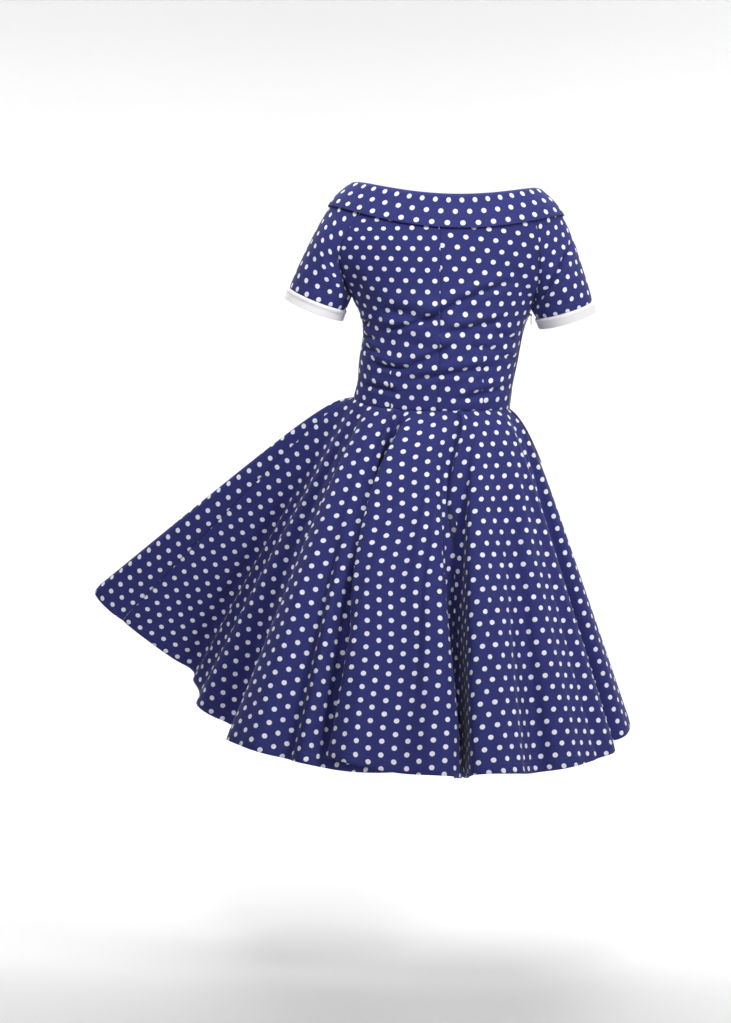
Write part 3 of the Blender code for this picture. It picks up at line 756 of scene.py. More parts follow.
class StageSettings(bpy.types.PropertyGroup):
    """Floor, backdrop, lights and camera"""

    floor: FloatProperty(
        name="Floor", description="Height of the floor", default=-1.46, unit="LENGTH"
    )
    paper: colour("Backdrop", "Matt white paper", "#FBFBFB")
    key: power("Key", "the light at the right", 82)
    front: power("Front", "the light over the camera", 2.4)
    top: power("Top", "the light overhead", 12)
    back: power("Back", "each backdrop light", 50)
    floor_light: power("Floor light", "the light over the floor", 52)
    world: FloatProperty(
        name="World", description="Strength of the even light", default=0.03, min=0
    )
    lens: FloatProperty(name="Lens", description="Focal length", default=72.46, unit="CAMERA")


class DressSettings(bpy.types.PropertyGroup):
    """All settings of the dress"""

    cloth: PointerProperty(type=ClothSettings)
    sewing: PointerProperty(type=SewingSettings)
    zip: PointerProperty(type=ZipSettings)
    stage: PointerProperty(type=StageSettings)


def settings():
    """The dress's settings in this scene."""
    return bpy.context.scene.swing_dress


def add_node(tree, kind, inputs=None, **values):
    """Adds a node, sets its values and fills its inputs with numbers or other nodes' outputs."""
    node = tree.nodes.new(kind)
    for name, value in values.items():
        setattr(node, name, value)
    for name, value in (inputs or {}).items():
        if isinstance(value, bpy.types.NodeSocket):
            tree.links.new(value, node.inputs[name])
        else:
            node.inputs[name].default_value = value
    return node


def new_material(name, **sockets):
    """A material with one Principled shader and these values on its own sockets."""
    material = bpy.data.materials.new(name)
    material.use_nodes = True
    shader = material.node_tree.nodes["Principled BSDF"]
    for socket, value in sockets.items():
        shader.inputs[socket.replace("_", " ")].default_value = value
    return material, material.node_tree, shader


def mottle(tree, shader, base, pattern, low, high, limits=None):
    """Links the base colour, which the pattern makes darker and lighter, between low and high."""
    spread = {"Value": pattern, "To Min": low, "To Max": high, **(limits or {})}
    value = add_node(tree, "ShaderNodeMapRange", spread)
    toned = add_node(tree, "ShaderNodeHueSaturation", {"Value": value.outputs[0], "Color": base})
    tree.links.new(toned.outputs[0], shader.inputs["Base Color"])


def woven_height(tree, place, thread):
    """Height of crossing threads at the given spacing, from -1 to 1."""
    turns = 2 * math.pi / thread
    phase = add_node(
        tree, "ShaderNodeVectorMath", {0: place, 1: (turns, turns, 0)}, operation="MULTIPLY"
    )
    waves = add_node(tree, "ShaderNodeVectorMath", {0: phase.outputs[0]}, operation="SINE")
    parts = add_node(tree, "ShaderNodeSeparateXYZ", {0: waves.outputs[0]})
    crossing = {0: parts.outputs["X"], 1: parts.outputs["Y"]}
    return add_node(tree, "ShaderNodeMath", crossing, operation="MULTIPLY").outputs[0]


def finish_cloth(tree, shader, place, base, thread, slub):
    """Links a cloth's colour, with uneven dye and slubs, and its weave and slight cockling."""
    dye = add_node(tree, "ShaderNodeTexNoise", {"Vector": place, "Scale": 28.0, "Detail": 3.0})
    yarn = add_node(tree, "ShaderNodeTexNoise", {"Vector": place, "Scale": 700.0, "Detail": 1.0})
    both = add_node(
        tree, "ShaderNodeMath", {0: dye.outputs[0], 1: yarn.outputs[0]}, operation="ADD"
    )
    limits = {"From Min": 0.6, "From Max": 1.4}
    mottle(tree, shader, base, both.outputs[0], 1 - slub, 1 + slub, limits)
    cockle = add_node(tree, "ShaderNodeTexNoise", {"Vector": place, "Scale": 55.0, "Detail": 2.0})
    soft = add_node(
        tree, "ShaderNodeBump", {"Height": cockle.outputs[0], "Strength": 0.35, "Distance": 0.0011}
    )
    weave = add_node(
        tree,
        "ShaderNodeBump",
        {
            "Height": woven_height(tree, place, thread),
            "Strength": 0.22,
            "Distance": 0.00006,
            "Normal": soft.outputs[0],
        },
    )
    tree.links.new(weave.outputs[0], shader.inputs["Normal"])


def printed_cotton(name, ground, show_through):
    """Cotton sateen, yarn dyed flat and screen printed with staggered white dots.

    It is matt with a slight sheen at grazing angles, and the dots' edges are softened by the
    threads. show_through is how strongly the dots show on this side.
    """
    cloth = settings().cloth
    material, tree, shader = new_material(
        name, Roughness=0.8, Specular_IOR_Level=0.2, Sheen_Weight=0.08, Sheen_Roughness=0.4
    )
    place = add_node(tree, "ShaderNodeUVMap", uv_map="cut").outputs["UV"]
    cell = (cloth.spacing, 2 * cloth.row, 1)
    share = add_node(tree, "ShaderNodeVectorMath", {0: place, 1: cell}, operation="DIVIDE")
    distances = []
    for shift in (0.5, 1.0):
        spot = share
        for value, operation in (
            ((shift, shift, 0), "ADD"),
            (None, "FRACTION"),
            ((0.5, 0.5, 0), "SUBTRACT"),
            (cell, "MULTIPLY"),
            (None, "LENGTH"),
        ):
            inputs = {0: spot.outputs[0]} if value is None else {0: spot.outputs[0], 1: value}
            spot = add_node(tree, "ShaderNodeVectorMath", inputs, operation=operation)
        distances.append(spot.outputs["Value"])
    nearest = add_node(tree, "ShaderNodeMath", dict(enumerate(distances)), operation="MINIMUM")
    # Threads of 0.3 mm make the edge of a dot ragged by about as much
    ragged = add_node(tree, "ShaderNodeTexNoise", {"Vector": place, "Scale": 900.0, "Detail": 0.0})
    edge = add_node(
        tree,
        "ShaderNodeMath",
        {0: ragged.outputs[0], 1: DOT_RAGGED, 2: nearest.outputs[0]},
        operation="MULTIPLY_ADD",
    )
    radius = cloth.dot / 2 + DOT_RAGGED / 2
    dot = add_node(
        tree,
        "ShaderNodeMapRange",
        {
            "Value": edge.outputs[0],
            "From Min": radius + DOT_SOFT,
            "From Max": radius - DOT_SOFT,
            "To Min": 0.0,
            "To Max": show_through,
        },
        interpolation_type="SMOOTHSTEP",
    )
    base = add_node(
        tree,
        "ShaderNodeMix",
        {"Factor": dot.outputs[0], "A": (*ground, 1), "B": (*cloth.dots, 1)},
        data_type="RGBA",
    )
    finish_cloth(tree, shader, place, base.outputs["Result"], cloth.thread, 0.07)
    return material


def dyed_cloth(name, shade, thread, slub, **sockets):
    """Cloth of one colour on both sides."""
    material, tree, shader = new_material(name, **sockets)
    place = add_node(tree, "ShaderNodeUVMap", uv_map="cut").outputs["UV"]
    base = add_node(tree, "ShaderNodeRGB")
    base.outputs[0].default_value = (*shade, 1)
    finish_cloth(tree, shader, place, base.outputs[0], thread, slub)
    return material


def white_cotton(name, shade):
    """Plain-woven cotton poplin, bleached and pressed: matt, with a fine even weave."""
    sockets = {"Roughness": 0.75, "Specular_IOR_Level": 0.3, "Sheen_Weight": 0.1}
    return dyed_cloth(name, shade, settings().cloth.thread, 0.02, **sockets)


def woven_tape(name, shade):
    """Polyester zip tape, woven in a herringbone twill: matt, with fine ribs."""
    sockets = {"Roughness": 0.7, "Specular_IOR_Level": 0.3, "Sheen_Weight": 0.1}
    return dyed_cloth(name, shade, TAPE_THREAD, 0.08, **sockets)


def twisted_thread(name, shade):
    """Polyester sewing thread, twisted: its strands give it a slight gloss in short bands."""
    sockets = {"Roughness": 0.55, "Specular_IOR_Level": 0.4, "Sheen_Weight": 0.2}
    material, tree, shader = new_material(name, **sockets)
    place = add_node(tree, "ShaderNodeTexCoord").outputs["Object"]
    strands = add_node(
        tree, "ShaderNodeTexNoise", {"Vector": place, "Scale": 1500.0, "Detail": 1.0}
    )
    mottle(tree, shader, (*shade, 1), strands.outputs[0], 0.8, 1.2)
    bump = add_node(
        tree, "ShaderNodeBump", {"Height": strands.outputs[0], "Strength": 0.4, "Distance": 0.0001}
    )
    tree.links.new(bump.outputs[0], shader.inputs["Normal"])
    return material


def moulded_nylon(name, shade):
    """Nylon monofilament, drawn and wound: smooth and slightly translucent, so softly glossy."""
    material, tree, shader = new_material(name, Roughness=0.38, IOR=1.53)
    place = add_node(tree, "ShaderNodeTexCoord").outputs["Object"]
    cloud = add_node(tree, "ShaderNodeTexNoise", {"Vector": place, "Scale": 600.0, "Detail": 1.0})
    mottle(tree, shader, (*shade, 1), cloud.outputs[0], 0.85, 1.15)
    return material


def plated_zinc(name, shade):
    """Die-cast zinc, tumbled and nickel plated: a soft grey gloss, worn brighter in small spots."""
    material, tree, shader = new_material(name, Metallic=1.0)
    place = add_node(tree, "ShaderNodeTexCoord").outputs["Object"]
    wear = add_node(tree, "ShaderNodeTexNoise", {"Vector": place, "Scale": 420.0, "Detail": 4.0})
    rough = add_node(
        tree, "ShaderNodeMapRange", {"Value": wear.outputs[0], "To Min": 0.28, "To Max": 0.5}
    )
    tree.links.new(rough.outputs[0], shader.inputs["Roughness"])
    mottle(tree, shader, (*shade, 1), wear.outputs[0], 0.85, 1.15)
    scuffs = add_node(
        tree, "ShaderNodeTexNoise", {"Vector": place, "Scale": 1800.0, "Detail": 2.0}
    )
    bump = add_node(
        tree, "ShaderNodeBump", {"Height": scuffs.outputs[0], "Strength": 0.25, "Distance": 0.00005}
    )
    tree.links.new(bump.outputs[0], shader.inputs["Normal"])
    return material


def matt_paper(name, shade):
    """Seamless studio paper, rolled: matt white, without a pattern that shows."""
    material, tree, shader = new_material(name, Roughness=0.95, Specular_IOR_Level=0.1)
    place = add_node(tree, "ShaderNodeTexCoord").outputs["Object"]
    grain = add_node(tree, "ShaderNodeTexNoise", {"Vector": place, "Scale": 2.0, "Detail": 2.0})
    mottle(tree, shader, (*shade, 1), grain.outputs[0], 0.99, 1.0)
    return material


def shared(name, make, *values):
    """The named material, made the first time that it is asked for."""
    return bpy.data.materials.get(name) or make(name, *values)


def eased(value):
    """A smooth step from 0 to 1."""
    value = np.clip(value, 0, 1)
    return value * value * (3 - 2 * value)


def outward(grid):
    """The direction out of the cloth, for a grid whose rows go up and columns go right."""
    across = np.gradient(grid, axis=1)
    if np.allclose(grid[:, 0], grid[:, -1], atol=SAME):
        across[:, 0] = across[:, -1] = grid[:, 1] - grid[:, -2]
    out = np.cross(across, np.gradient(grid, axis=0))
    return out / np.maximum(np.linalg.norm(out, axis=-1, keepdims=True), NO_LENGTH)


def pressed_in(grid, depth):
    """The grid with each point pressed into the cloth by its depth."""
    return grid - outward(grid) * depth[..., None]


def lengths_across(grid):
    """The length along each row from its first point."""
    return np.array([run_length(row) for row in grid])


def lengths_up(grid):
    """The length up each column from its lowest point."""
    return lengths_across(grid.swapaxes(0, 1)).T


def creased_lengths_up(grid, up):
    """The lengths up a creased grid. What a crease adds is eased back over a few centimetres."""
    added = lengths_up(grid) - up
    weights = np.hanning(2 * EASED_ROWS + 3)[1:-1]
    padded = np.pad(added, ((EASED_ROWS, EASED_ROWS), (0, 0)), mode="edge")
    taken_back = np.apply_along_axis(np.convolve, 0, padded, weights / weights.sum(), "valid")
    return up + added - taken_back


def crease_depth(grid, creases):
    """How far in the creases press the cloth. Each is a soft trough between two lower ridges."""
    x = grid[..., 0] / MM
    z = grid[..., 2] / MM
    depth = np.zeros(x.shape)
    for from_x, from_z, to_x, to_z, bow, width, deep in creases:
        length = math.hypot(to_x - from_x, to_z - from_z)
        along_x, along_z = (to_x - from_x) / length, (to_z - from_z) / length
        share = ((x - from_x) * along_x + (z - from_z) * along_z) / length
        off = (z - from_z) * along_x - (x - from_x) * along_z - 4 * bow * share * (1 - share)
        ends = eased(share / CREASE_FADE) * eased((1 - share) / CREASE_FADE)
        pressed = np.exp(-((off / width) ** 2))
        for away, wide, high in CREASE_RIDGES:
            pressed = pressed - high * np.exp(-(((off - away * width) / (wide * width)) ** 2))
        depth += deep * ends * pressed
    return depth * MM * settings().sewing.crease


def seam_depth(distance, strength=1.0):
    """How far in a seam pulls the cloth at a distance from it."""
    sewing = settings().sewing
    return strength * sewing.seam_depth * np.exp(-((distance / sewing.seam_width) ** 2))


def edge_depths(grid, strengths):
    """How far in the seams at the named edges pull the cloth, each by its own strength."""
    across = lengths_across(grid)
    up = lengths_up(grid)
    distance = {
        "first": across,
        "last": across[:, -1:] - across,
        "bottom": up,
        "top": up[-1] - up,
    }
    return sum(seam_depth(distance[edge], strength) for edge, strength in strengths.items())


def turned(cut, name):
    """The place in the print: the piece's flat shape, eased, turned and moved as it was laid."""
    degrees, across, up, ease_across, ease_up, bow = LAID.get(name, LAID_PLAIN)
    sine, cosine = math.sin(math.radians(degrees)), math.cos(math.radians(degrees))
    u = cut[..., 0]
    v = cut[..., 1] + bow * MM * (u / BOWED_AT) ** 2
    place = np.stack([u * cosine - v * sine, u * sine + v * cosine], -1)
    return place * (ease_across, ease_up) + np.array([across, up]) * MM


def add_object(name, data):
    """A new object in the scene."""
    item = bpy.data.objects.new(name, data)
    bpy.context.scene.collection.objects.link(item)
    return item


def smooth_object(name, bm, materials):
    """A new object of the finished shape, shaded smooth."""
    mesh = bpy.data.meshes.new(name)
    bm.to_mesh(mesh)
    bm.free()
    mesh.shade_smooth()
    for material in materials:
        mesh.materials.append(material)
    return add_object(name, mesh)


def make_cloth(name, grid, cut, materials, wall, jump=None, rounded_edge=False):
    """A sheet of cloth through the grid, with its flat shape as its UV map and a thin wall.

    jump is how far each face of a row lies further across in the print, beyond a dart.
    """
    rows, columns = grid.shape[:2]
    bm = bmesh.new()
    layer = bm.loops.layers.uv.new("cut")
    bmesh.ops.create_grid(bm, x_segments=columns - 1, y_segments=rows - 1, size=1)
    spots = [
        (round((v.co.y + 1) / 2 * (rows - 1)), round((v.co.x + 1) / 2 * (columns - 1)))
        for v in bm.verts
    ]
    if jump is None:
        jump = np.zeros((rows, columns - 1))
    for face in bm.faces:
        corners = [spots[loop.vert.index] for loop in face.loops]
        first = min(column for _, column in corners)
        flat = [cut[row, column] + (jump[row, first], 0) for row, column in corners]
        for loop, place in zip(face.loops, turned(np.array(flat), name)):
            loop[layer].uv = place
    for vert, (row, column) in zip(bm.verts, spots):
        vert.co = grid[row, column]
    bmesh.ops.remove_doubles(bm, verts=bm.verts, dist=SAME)
    piece = smooth_object(name + "_cloth", bm, materials)
    solid = piece.modifiers.new("wall", "SOLIDIFY")
    solid.thickness = wall
    solid.offset = -1
    solid.material_offset = len(materials) - 1
    if rounded_edge:
        bevel = piece.modifiers.new("rolled edge", "BEVEL")
        bevel.width = wall * ROLLED_EDGE
        bevel.segments = 2
        bevel.limit_method = "ANGLE"
        bevel.angle_limit = ROLLED_AT
    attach(piece, "dress")
    return piece


def stands_for(piece, node):
    """Hides the plain solid whose place the piece takes."""
    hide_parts(node)


def navy_materials():
    """The printed cotton's right and wrong side."""
    cloth = settings().cloth
    return [
        shared("printed cotton sateen", printed_cotton, cloth.navy, 1.0),
        shared("printed cotton sateen wrong side", printed_cotton, cloth.wrong, 0.35),
    ]


def zip_end():
    """The height at which the zip ends, in the skirt's right side seam."""
    column = SKIRT["surface"][:, SKIRT["angles"].tolist().index(90)]
    return smooth(np.linspace(0, 1, len(column)), column, [ZIP_SHARE])[0, 2]


def held_back(grid, end):
    """Draws the rows of a panel in at the zip, so that its edge stands back from the seam."""
    rows = []
    bottom = zip_end()
    for row in grid if end == "last" else grid[:, ::-1]:
        height = row[-1, 2]
        opening = eased((ZIP_TOP - height) / PLACKET_OPENS)
        gap = PLACKET * opening * eased((height - bottom) / PLACKET_CLOSES)
        length = run_length(row)
        rows.append(at_length(row, length * (1 - gap / length[-1]), length))
    grid = np.array(rows)
    return grid if end == "last" else grid[:, ::-1]


def half_bodice(side, is_front):
    """Half a panel from its centre line out: its points, flat shape, the dart's jump and pull."""
    levels = np.linspace(0, TOP_LEVEL, BODICE_ROWS + 1)
    panel = bodice_panel(side, is_front, levels)
    dart = (FRONT_DARTS if is_front else BACK_DARTS)[side] * MM
    shares = np.linspace(0, 1, BODICE_COLUMNS + 1)
    at_dart = np.array([np.interp(side * dart, side * row[:, 0], shares) for row in panel])
    heights = panel[:, BODICE_COLUMNS // 2, 2]
    above = int(np.interp(DART_TOP * MM, heights, np.arange(len(panel))))
    at_dart[above:] = at_dart[above]
    middle = round(float(at_dart[0]) * BODICE_COLUMNS)
    for index, row in enumerate(panel):
        near = np.linspace(0, at_dart[index], middle + 1)
        far = np.linspace(at_dart[index], 1, BODICE_COLUMNS - middle + 1)[1:]
        panel[index] = smooth(shares, row, np.concatenate([near, far]))
    across = lengths_across(panel)
    below_top = DART_TOP * MM - panel[:, middle, 2]
    closing = eased(DART_OPENS * below_top / below_top[0])
    jump = np.zeros((BODICE_ROWS + 1, BODICE_COLUMNS))
    jump[:, middle:] = (DART_TAKES * MM * closing)[:, None]
    pulled = seam_depth(across - across[:, middle : middle + 1], DART_PULL)
    pulled = pulled * eased(closing * DART_STARTS)[:, None]
    outwards = -side if is_front else side
    cut = np.stack([outwards * across, lengths_up(panel)], -1)
    return panel, cut, outwards * jump, pulled


def bodice_parts(is_front):
    """The panels of the back or the front as grids whose columns go right, seen from outside."""
    left = half_bodice(-1, is_front)
    right = half_bodice(1, is_front)
    if is_front:
        left, right = right, left
    left = [part[:, ::-1] for part in left]
    return left, right


def evenly(row):
    """The row with its points at even distances, as they lie on the flat cloth."""
    length = run_length(row)
    return at_length(row, np.linspace(0, length[-1], len(row)), length)


def skirt_half(start):
    """Half of the skirt as a grid with its rows going up, its flat shape and its folds."""
    sewing = settings().sewing
    wanted = np.linspace(start, start + 180, SKIRT_COLUMNS + 1)
    columns = np.array([evenly(smooth(SKIRT["angles"], row, wanted)) for row in SKIRT["surface"]])
    shares = np.linspace(1, 0, SKIRT_ROWS + 1)
    grid = smooth(np.linspace(0, 1, len(columns)), columns, shares)
    shares = shares[:, None]
    radius = WAIST_RADIUS + SKIRT_LENGTH * shares
    turn = np.radians(wanted - start - 90)
    cut = np.stack([radius * np.sin(turn), -radius * np.cos(turn)], -1)
    depth = np.zeros(grid.shape[:2])
    (fade_in, fade_out), (at_waist, grows), (aside, high) = FOLD_FADES, FOLD_GROWS, FOLD_RIDGE
    for top, bottom, begins, ends, width, deep in SKIRT_FOLDS:
        middle = top + (bottom - top) * shares
        apart = (wanted - middle + 180) % 360 - 180
        fade = eased((shares - begins) / fade_in) * eased((ends - shares) / fade_out)
        ridge = high * np.exp(-(((apart - aside * width) / width) ** 2))
        inside = np.exp(-((apart / width) ** 2)) - ridge
        depth += deep * MM * (at_waist + grows * shares) * fade * inside
    depth *= sewing.crease
    depth -= HEM_PROUD * eased((SKIRT_LENGTH * (shares - 1) + sewing.hem) / HEM_STEP + 0.5)
    return grid, cut, depth


def sleeve_cloth(arm):
    """A sleeve as a grid with its rows going up and columns right, and its flat shape."""
    levels = np.linspace(TOP_LEVEL, UNDERARM, SLEEVE_ROWS + 1)
    grid = sleeve_surface(arm, levels, SLEEVE_COLUMNS, SLEEVE_ROWS_BELOW)[::-1]
    if arm["side"] < 0:
        grid = grid[:, ::-1]
    closed = np.linalg.norm(grid[:, 0] - grid[:, -1], axis=1) < SAME
    across = lengths_across(grid)
    across -= across[:, SLEEVE_COLUMNS // 2][:, None]
    up = lengths_up(grid)
    depth = np.zeros(grid.shape[:2])
    for face, sign in (("back", -1), ("front", 1)):
        facing = eased(0.5 + sign * grid[..., 1] / FACE_FADE)
        depth += facing * crease_depth(grid, SLEEVE_CREASES[arm["side"], face])
    depth *= eased(up / CUFF_FADE)
    depth += edge_depths(grid, PANEL_SEAMS["sleeve"])
    grid = pressed_in(grid, depth)
    both = (grid[closed, 0] + grid[closed, -1]) / 2
    grid[closed, 0] = grid[closed, -1] = both
    return grid, np.stack([across, creased_lengths_up(grid, up)], -1)


def cuff_cloth(arm):
    """A cuff as a grid with its rows going up and columns right, and its flat shape."""
    turn = np.linspace(-math.pi, math.pi, CUFF_COLUMNS + 1)
    rings = [sleeve_ring(arm, turn, arm[half] + out, down) for half, out, down in CUFF_RINGS]
    shares = [down / CUFF_LENGTH for _, _, down in CUFF_RINGS]
    grid = smooth(shares, rings, np.linspace(1, 0, CUFF_ROWS + 1))
    if arm["side"] < 0:
        grid = grid[:, ::-1]
    grid[:, -1] = grid[:, 0]
    up = lengths_up(grid)
    across = np.broadcast_to(lengths_across(grid)[CUFF_ROWS // 2], up.shape)
    return grid, np.stack([across, up], -1)


def collar_cloth():
    """The collar as a grid from its lower edge up over the fold, and its flat shape."""
    turn = np.linspace(-math.pi, math.pi, COLLAR_COLUMNS + 1)
    back = COLLAR_PROUD + FOLD_BEHIND
    # How far down the outer face and how far behind it: up the fall, over the fold and down
    profile = [(COLLAR_FALL * share, 0) for share in (1, 0.75, 0.5, 0.25, 0.05)]
    profile += [(-0.3 * back, 0.5 * back), (0.05 * COLLAR_FALL, back), (COLLAR_STAND, back)]
    profile = np.array(profile)
    keys = run_length(profile)
    up = np.linspace(0, keys[-1], COLLAR_ROWS + 1)
    grid = np.array([under_collar(turn, down, depth) for down, depth in smooth(keys, profile, up)])
    grid[:, -1] = grid[:, 0]
    across = lengths_across(grid)[COLLAR_ROWS // 3]
    return grid, np.stack(np.meshgrid(across, up), -1)


def add_piece(name, bm, material):
    """A rigid piece that rides on the dress."""
    bmesh.ops.recalc_face_normals(bm, faces=bm.faces)
    piece = smooth_object(name, bm, [material])
    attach(piece, "dress")


def spaced(line, out, pitch):
    """Points, directions along and directions out at an even pitch down a line."""
    length = run_length(line)
    at = np.arange(pitch / 2, length[-1], pitch)
    ahead, behind = (at_length(line, at + step, length) for step in (pitch / 4, -pitch / 4))
    outs = unit(at_length(out, at, length))
    return zip(at_length(line, at, length), unit(ahead - behind), outs)


def placed(point, axes):
    """The matrix that puts a shape at a point and gives it these axes."""
    rows = [[*row, at] for row, at in zip(np.transpose(axes), point)]
    return Matrix([*rows, [0, 0, 0, 1]])


def add_stitches(bm, line, out):
    """A row of stitches along the line, each a small grain of thread that sinks into the cloth."""
    sewing = settings().sewing
    for point, along, outs in spaced(line, out, sewing.pitch):
        halves = (along * (sewing.stitch / 2), np.cross(outs, along) * STITCH_HALF[0])
        place = placed(point + outs * STITCH_PROUD, (*halves, outs * STITCH_HALF[1]))
        bmesh.ops.create_icosphere(bm, subdivisions=1, radius=1, matrix=place)


def make_bodice():
    """The bodice's two back panels and its front, pressed in at creases, darts and seams."""
    SHAPES.clear()
    materials = navy_materials()
    left, right = bodice_parts(False)
    panels = [("bodice_back_left", left, None), ("bodice_back_right", right, "last")]
    halves = zip(*bodice_parts(True), (1, 1, 0, 1))
    front = [np.concatenate([one, two[:, skip:]], axis=1) for one, two, skip in halves]
    panels.append(("bodice_front", front, "first"))
    for name, (grid, cut, jump, pulled), at_zip in panels:
        if at_zip:
            grid = held_back(grid, at_zip)
        creases = FRONT_CREASES if name == "bodice_front" else BACK_CREASES
        depth = crease_depth(grid, creases) * eased(np.abs(grid[..., 1]) / SIDE_FADE)
        grid = pressed_in(grid, depth + pulled + edge_depths(grid, PANEL_SEAMS[name]))
        cut[..., 1] = creased_lengths_up(grid, cut[..., 1])
        SHAPES[name] = grid
        wall = settings().cloth.wall
        stands_for(make_cloth(name, grid, cut, materials, wall, jump), name)


def make_skirt():
    """The skirt's two half circles."""
    for name, start, at_zip in (("skirt_back", -90, "last"), ("skirt_front", 90, "first")):
        grid, cut, depth = skirt_half(start)
        grid = held_back(grid, at_zip)
        across = lengths_across(grid)
        depth = depth * eased(np.minimum(across, across[:, -1:] - across) / SEAM_FADE)
        depth += edge_depths(grid, PANEL_SEAMS["skirt"])
        grid = np.array([evenly(row) for row in pressed_in(grid, depth)])
        SHAPES[name] = grid
        stands_for(make_cloth(name, grid, cut, navy_materials(), settings().cloth.wall), name)


def make_sleeves():
    """Both sleeves, sewn in at the armholes and closed under the arm."""
    for side, arm in ARMS.items():
        name = "sleeve_" + side
        piece = make_cloth(name, *sleeve_cloth(arm), navy_materials(), settings().cloth.wall)
        stands_for(piece, name)


def make_cuffs():
    """Both cuffs, of two layers with a pressed edge."""
    cloth = settings().cloth
    white = [shared("bleached cotton poplin", white_cotton, cloth.white)]
    for side, arm in ARMS.items():
        name = "cuff_" + side
        grid, cut = cuff_cloth(arm)
        SHAPES[name] = grid
        wall = CUFF_LAYERS * cloth.wall
        stands_for(make_cloth(name, grid, cut, white, wall, rounded_edge=True), name)


def make_collar():
    """The collar, of two layers, folded over at its top."""
    wall = COLLAR_LAYERS * settings().cloth.wall
    piece = make_cloth("collar", *collar_cloth(), navy_materials(), wall, rounded_edge=True)
    stands_for(piece, "collar")


def side_rows():
    """Rows of the back and the front beside the zip, from the slider down, each from the seam."""
    rows = []
    for back, front in (("bodice_back_right", "bodice_front"), ("skirt_back", "skirt_front")):
        rows += zip(SHAPES[back][::-1, ::-1], SHAPES[front][::-1])
    end = zip_end()
    return [(one, two) for one, two in rows if end < one[0, 2] < ZIP_TOP]


def make_zip():
    """The coil and tape in the side seam, and the finish of the slider and its pull."""
    zipper = settings().zip
    metal = shared("nickel plated zinc", plated_zinc, zipper.metal)
    for node in ("zip_slider", "zip_pull"):
        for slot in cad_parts[node].material_slots:
            slot.material = metal
    rows = side_rows()
    seam = np.array([(one[0] + two[0]) / 2 for one, two in rows])
    out = [
        one[0] + two[0] - at_length(one, COIL_ASIDE) - at_length(two, COIL_ASIDE)
        for one, two in rows
    ]
    out = unit(unit(np.array(out)) + COIL_TURNED)
    bm = bmesh.new()
    radius = COIL_ROUND * zipper.pitch
    for point, along, outs in spaced(seam - out * COIL_DEEP, out, zipper.pitch):
        bmesh.ops.create_cone(
            bm,
            cap_ends=True,
            segments=COIL_SIDES,
            radius1=radius,
            radius2=radius,
            depth=zipper.width,
            matrix=placed(point, (along, outs, np.cross(outs, along))),
        )
    add_piece("zip_coil", bm, shared("nylon coil", moulded_nylon, zipper.coil))
    strip = []
    for (one, two), outs in zip(rows, out):
        line = np.concatenate([at_length(two, TAPE_WIDTHS), at_length(one, TAPE_WIDTHS[::-1])])
        strip.append(line - outs * TAPE_BEHIND)
    strip = np.array(strip)[::-1, ::-1]
    across = np.broadcast_to(run_length(strip[len(strip) // 2]), strip.shape[:2])
    cut = np.stack([across, lengths_up(strip)], -1)
    woven = shared("polyester tape", woven_tape, zipper.tape)
    make_cloth("zip_tape", strip, cut, [woven], TAPE_WALL)


def make_stitching():
    """The hem's stitches, the stitches beside the zip and those of the cuffs."""
    sewing = settings().sewing
    navy = bmesh.new()
    for name in ("skirt_back", "skirt_front"):
        grid = SHAPES[name]
        row = sewing.hem / SKIRT_LENGTH * SKIRT_ROWS
        low, part = int(row), row - int(row)
        line = grid[low] * (1 - part) + grid[low + 1] * part
        add_stitches(navy, line, outward(grid)[low])
    for rows in zip(*side_rows()):
        line = np.array([at_length(row, ZIP_STITCHED) for row in rows])
        inner = np.array([at_length(row, ZIP_INSIDE) for row in rows])
        out = unit(np.cross(np.gradient(line, axis=0), line - inner))
        add_stitches(navy, line, out * np.sign(out[:, :1]))
    thread = shared("navy polyester thread", twisted_thread, sewing.navy_thread)
    add_piece("navy_stitching", navy, thread)
    white = bmesh.new()
    for name in ("cuff_left", "cuff_right"):
        grid = SHAPES[name]
        add_stitches(white, grid[CUFF_STITCHED], outward(grid)[CUFF_STITCHED])
    thread = shared("white polyester thread", twisted_thread, sewing.white_thread)
    add_piece("white_stitching", white, thread)


def paper_place(run):
    """How far back and how high the paper lies at a length from its front edge."""
    arc = PAPER_BEND * math.pi / 2
    if run < PAPER_LEVEL:
        return PAPER_START + run, 0
    if run < PAPER_LEVEL + arc:
        turn = (run - PAPER_LEVEL) / PAPER_BEND
        back = PAPER_START + PAPER_LEVEL + PAPER_BEND * math.sin(turn)
        return back, PAPER_BEND * (1 - math.cos(turn))
    return PAPER_START + PAPER_LEVEL + PAPER_BEND, PAPER_BEND + run - PAPER_LEVEL - arc


def aim_at(item, place, aim):
    """Puts a light or the camera at its place and turns it to its aim."""
    item.location = place
    item.rotation_euler = (Vector(aim) - Vector(place)).to_track_quat("-Z", "Y").to_euler()


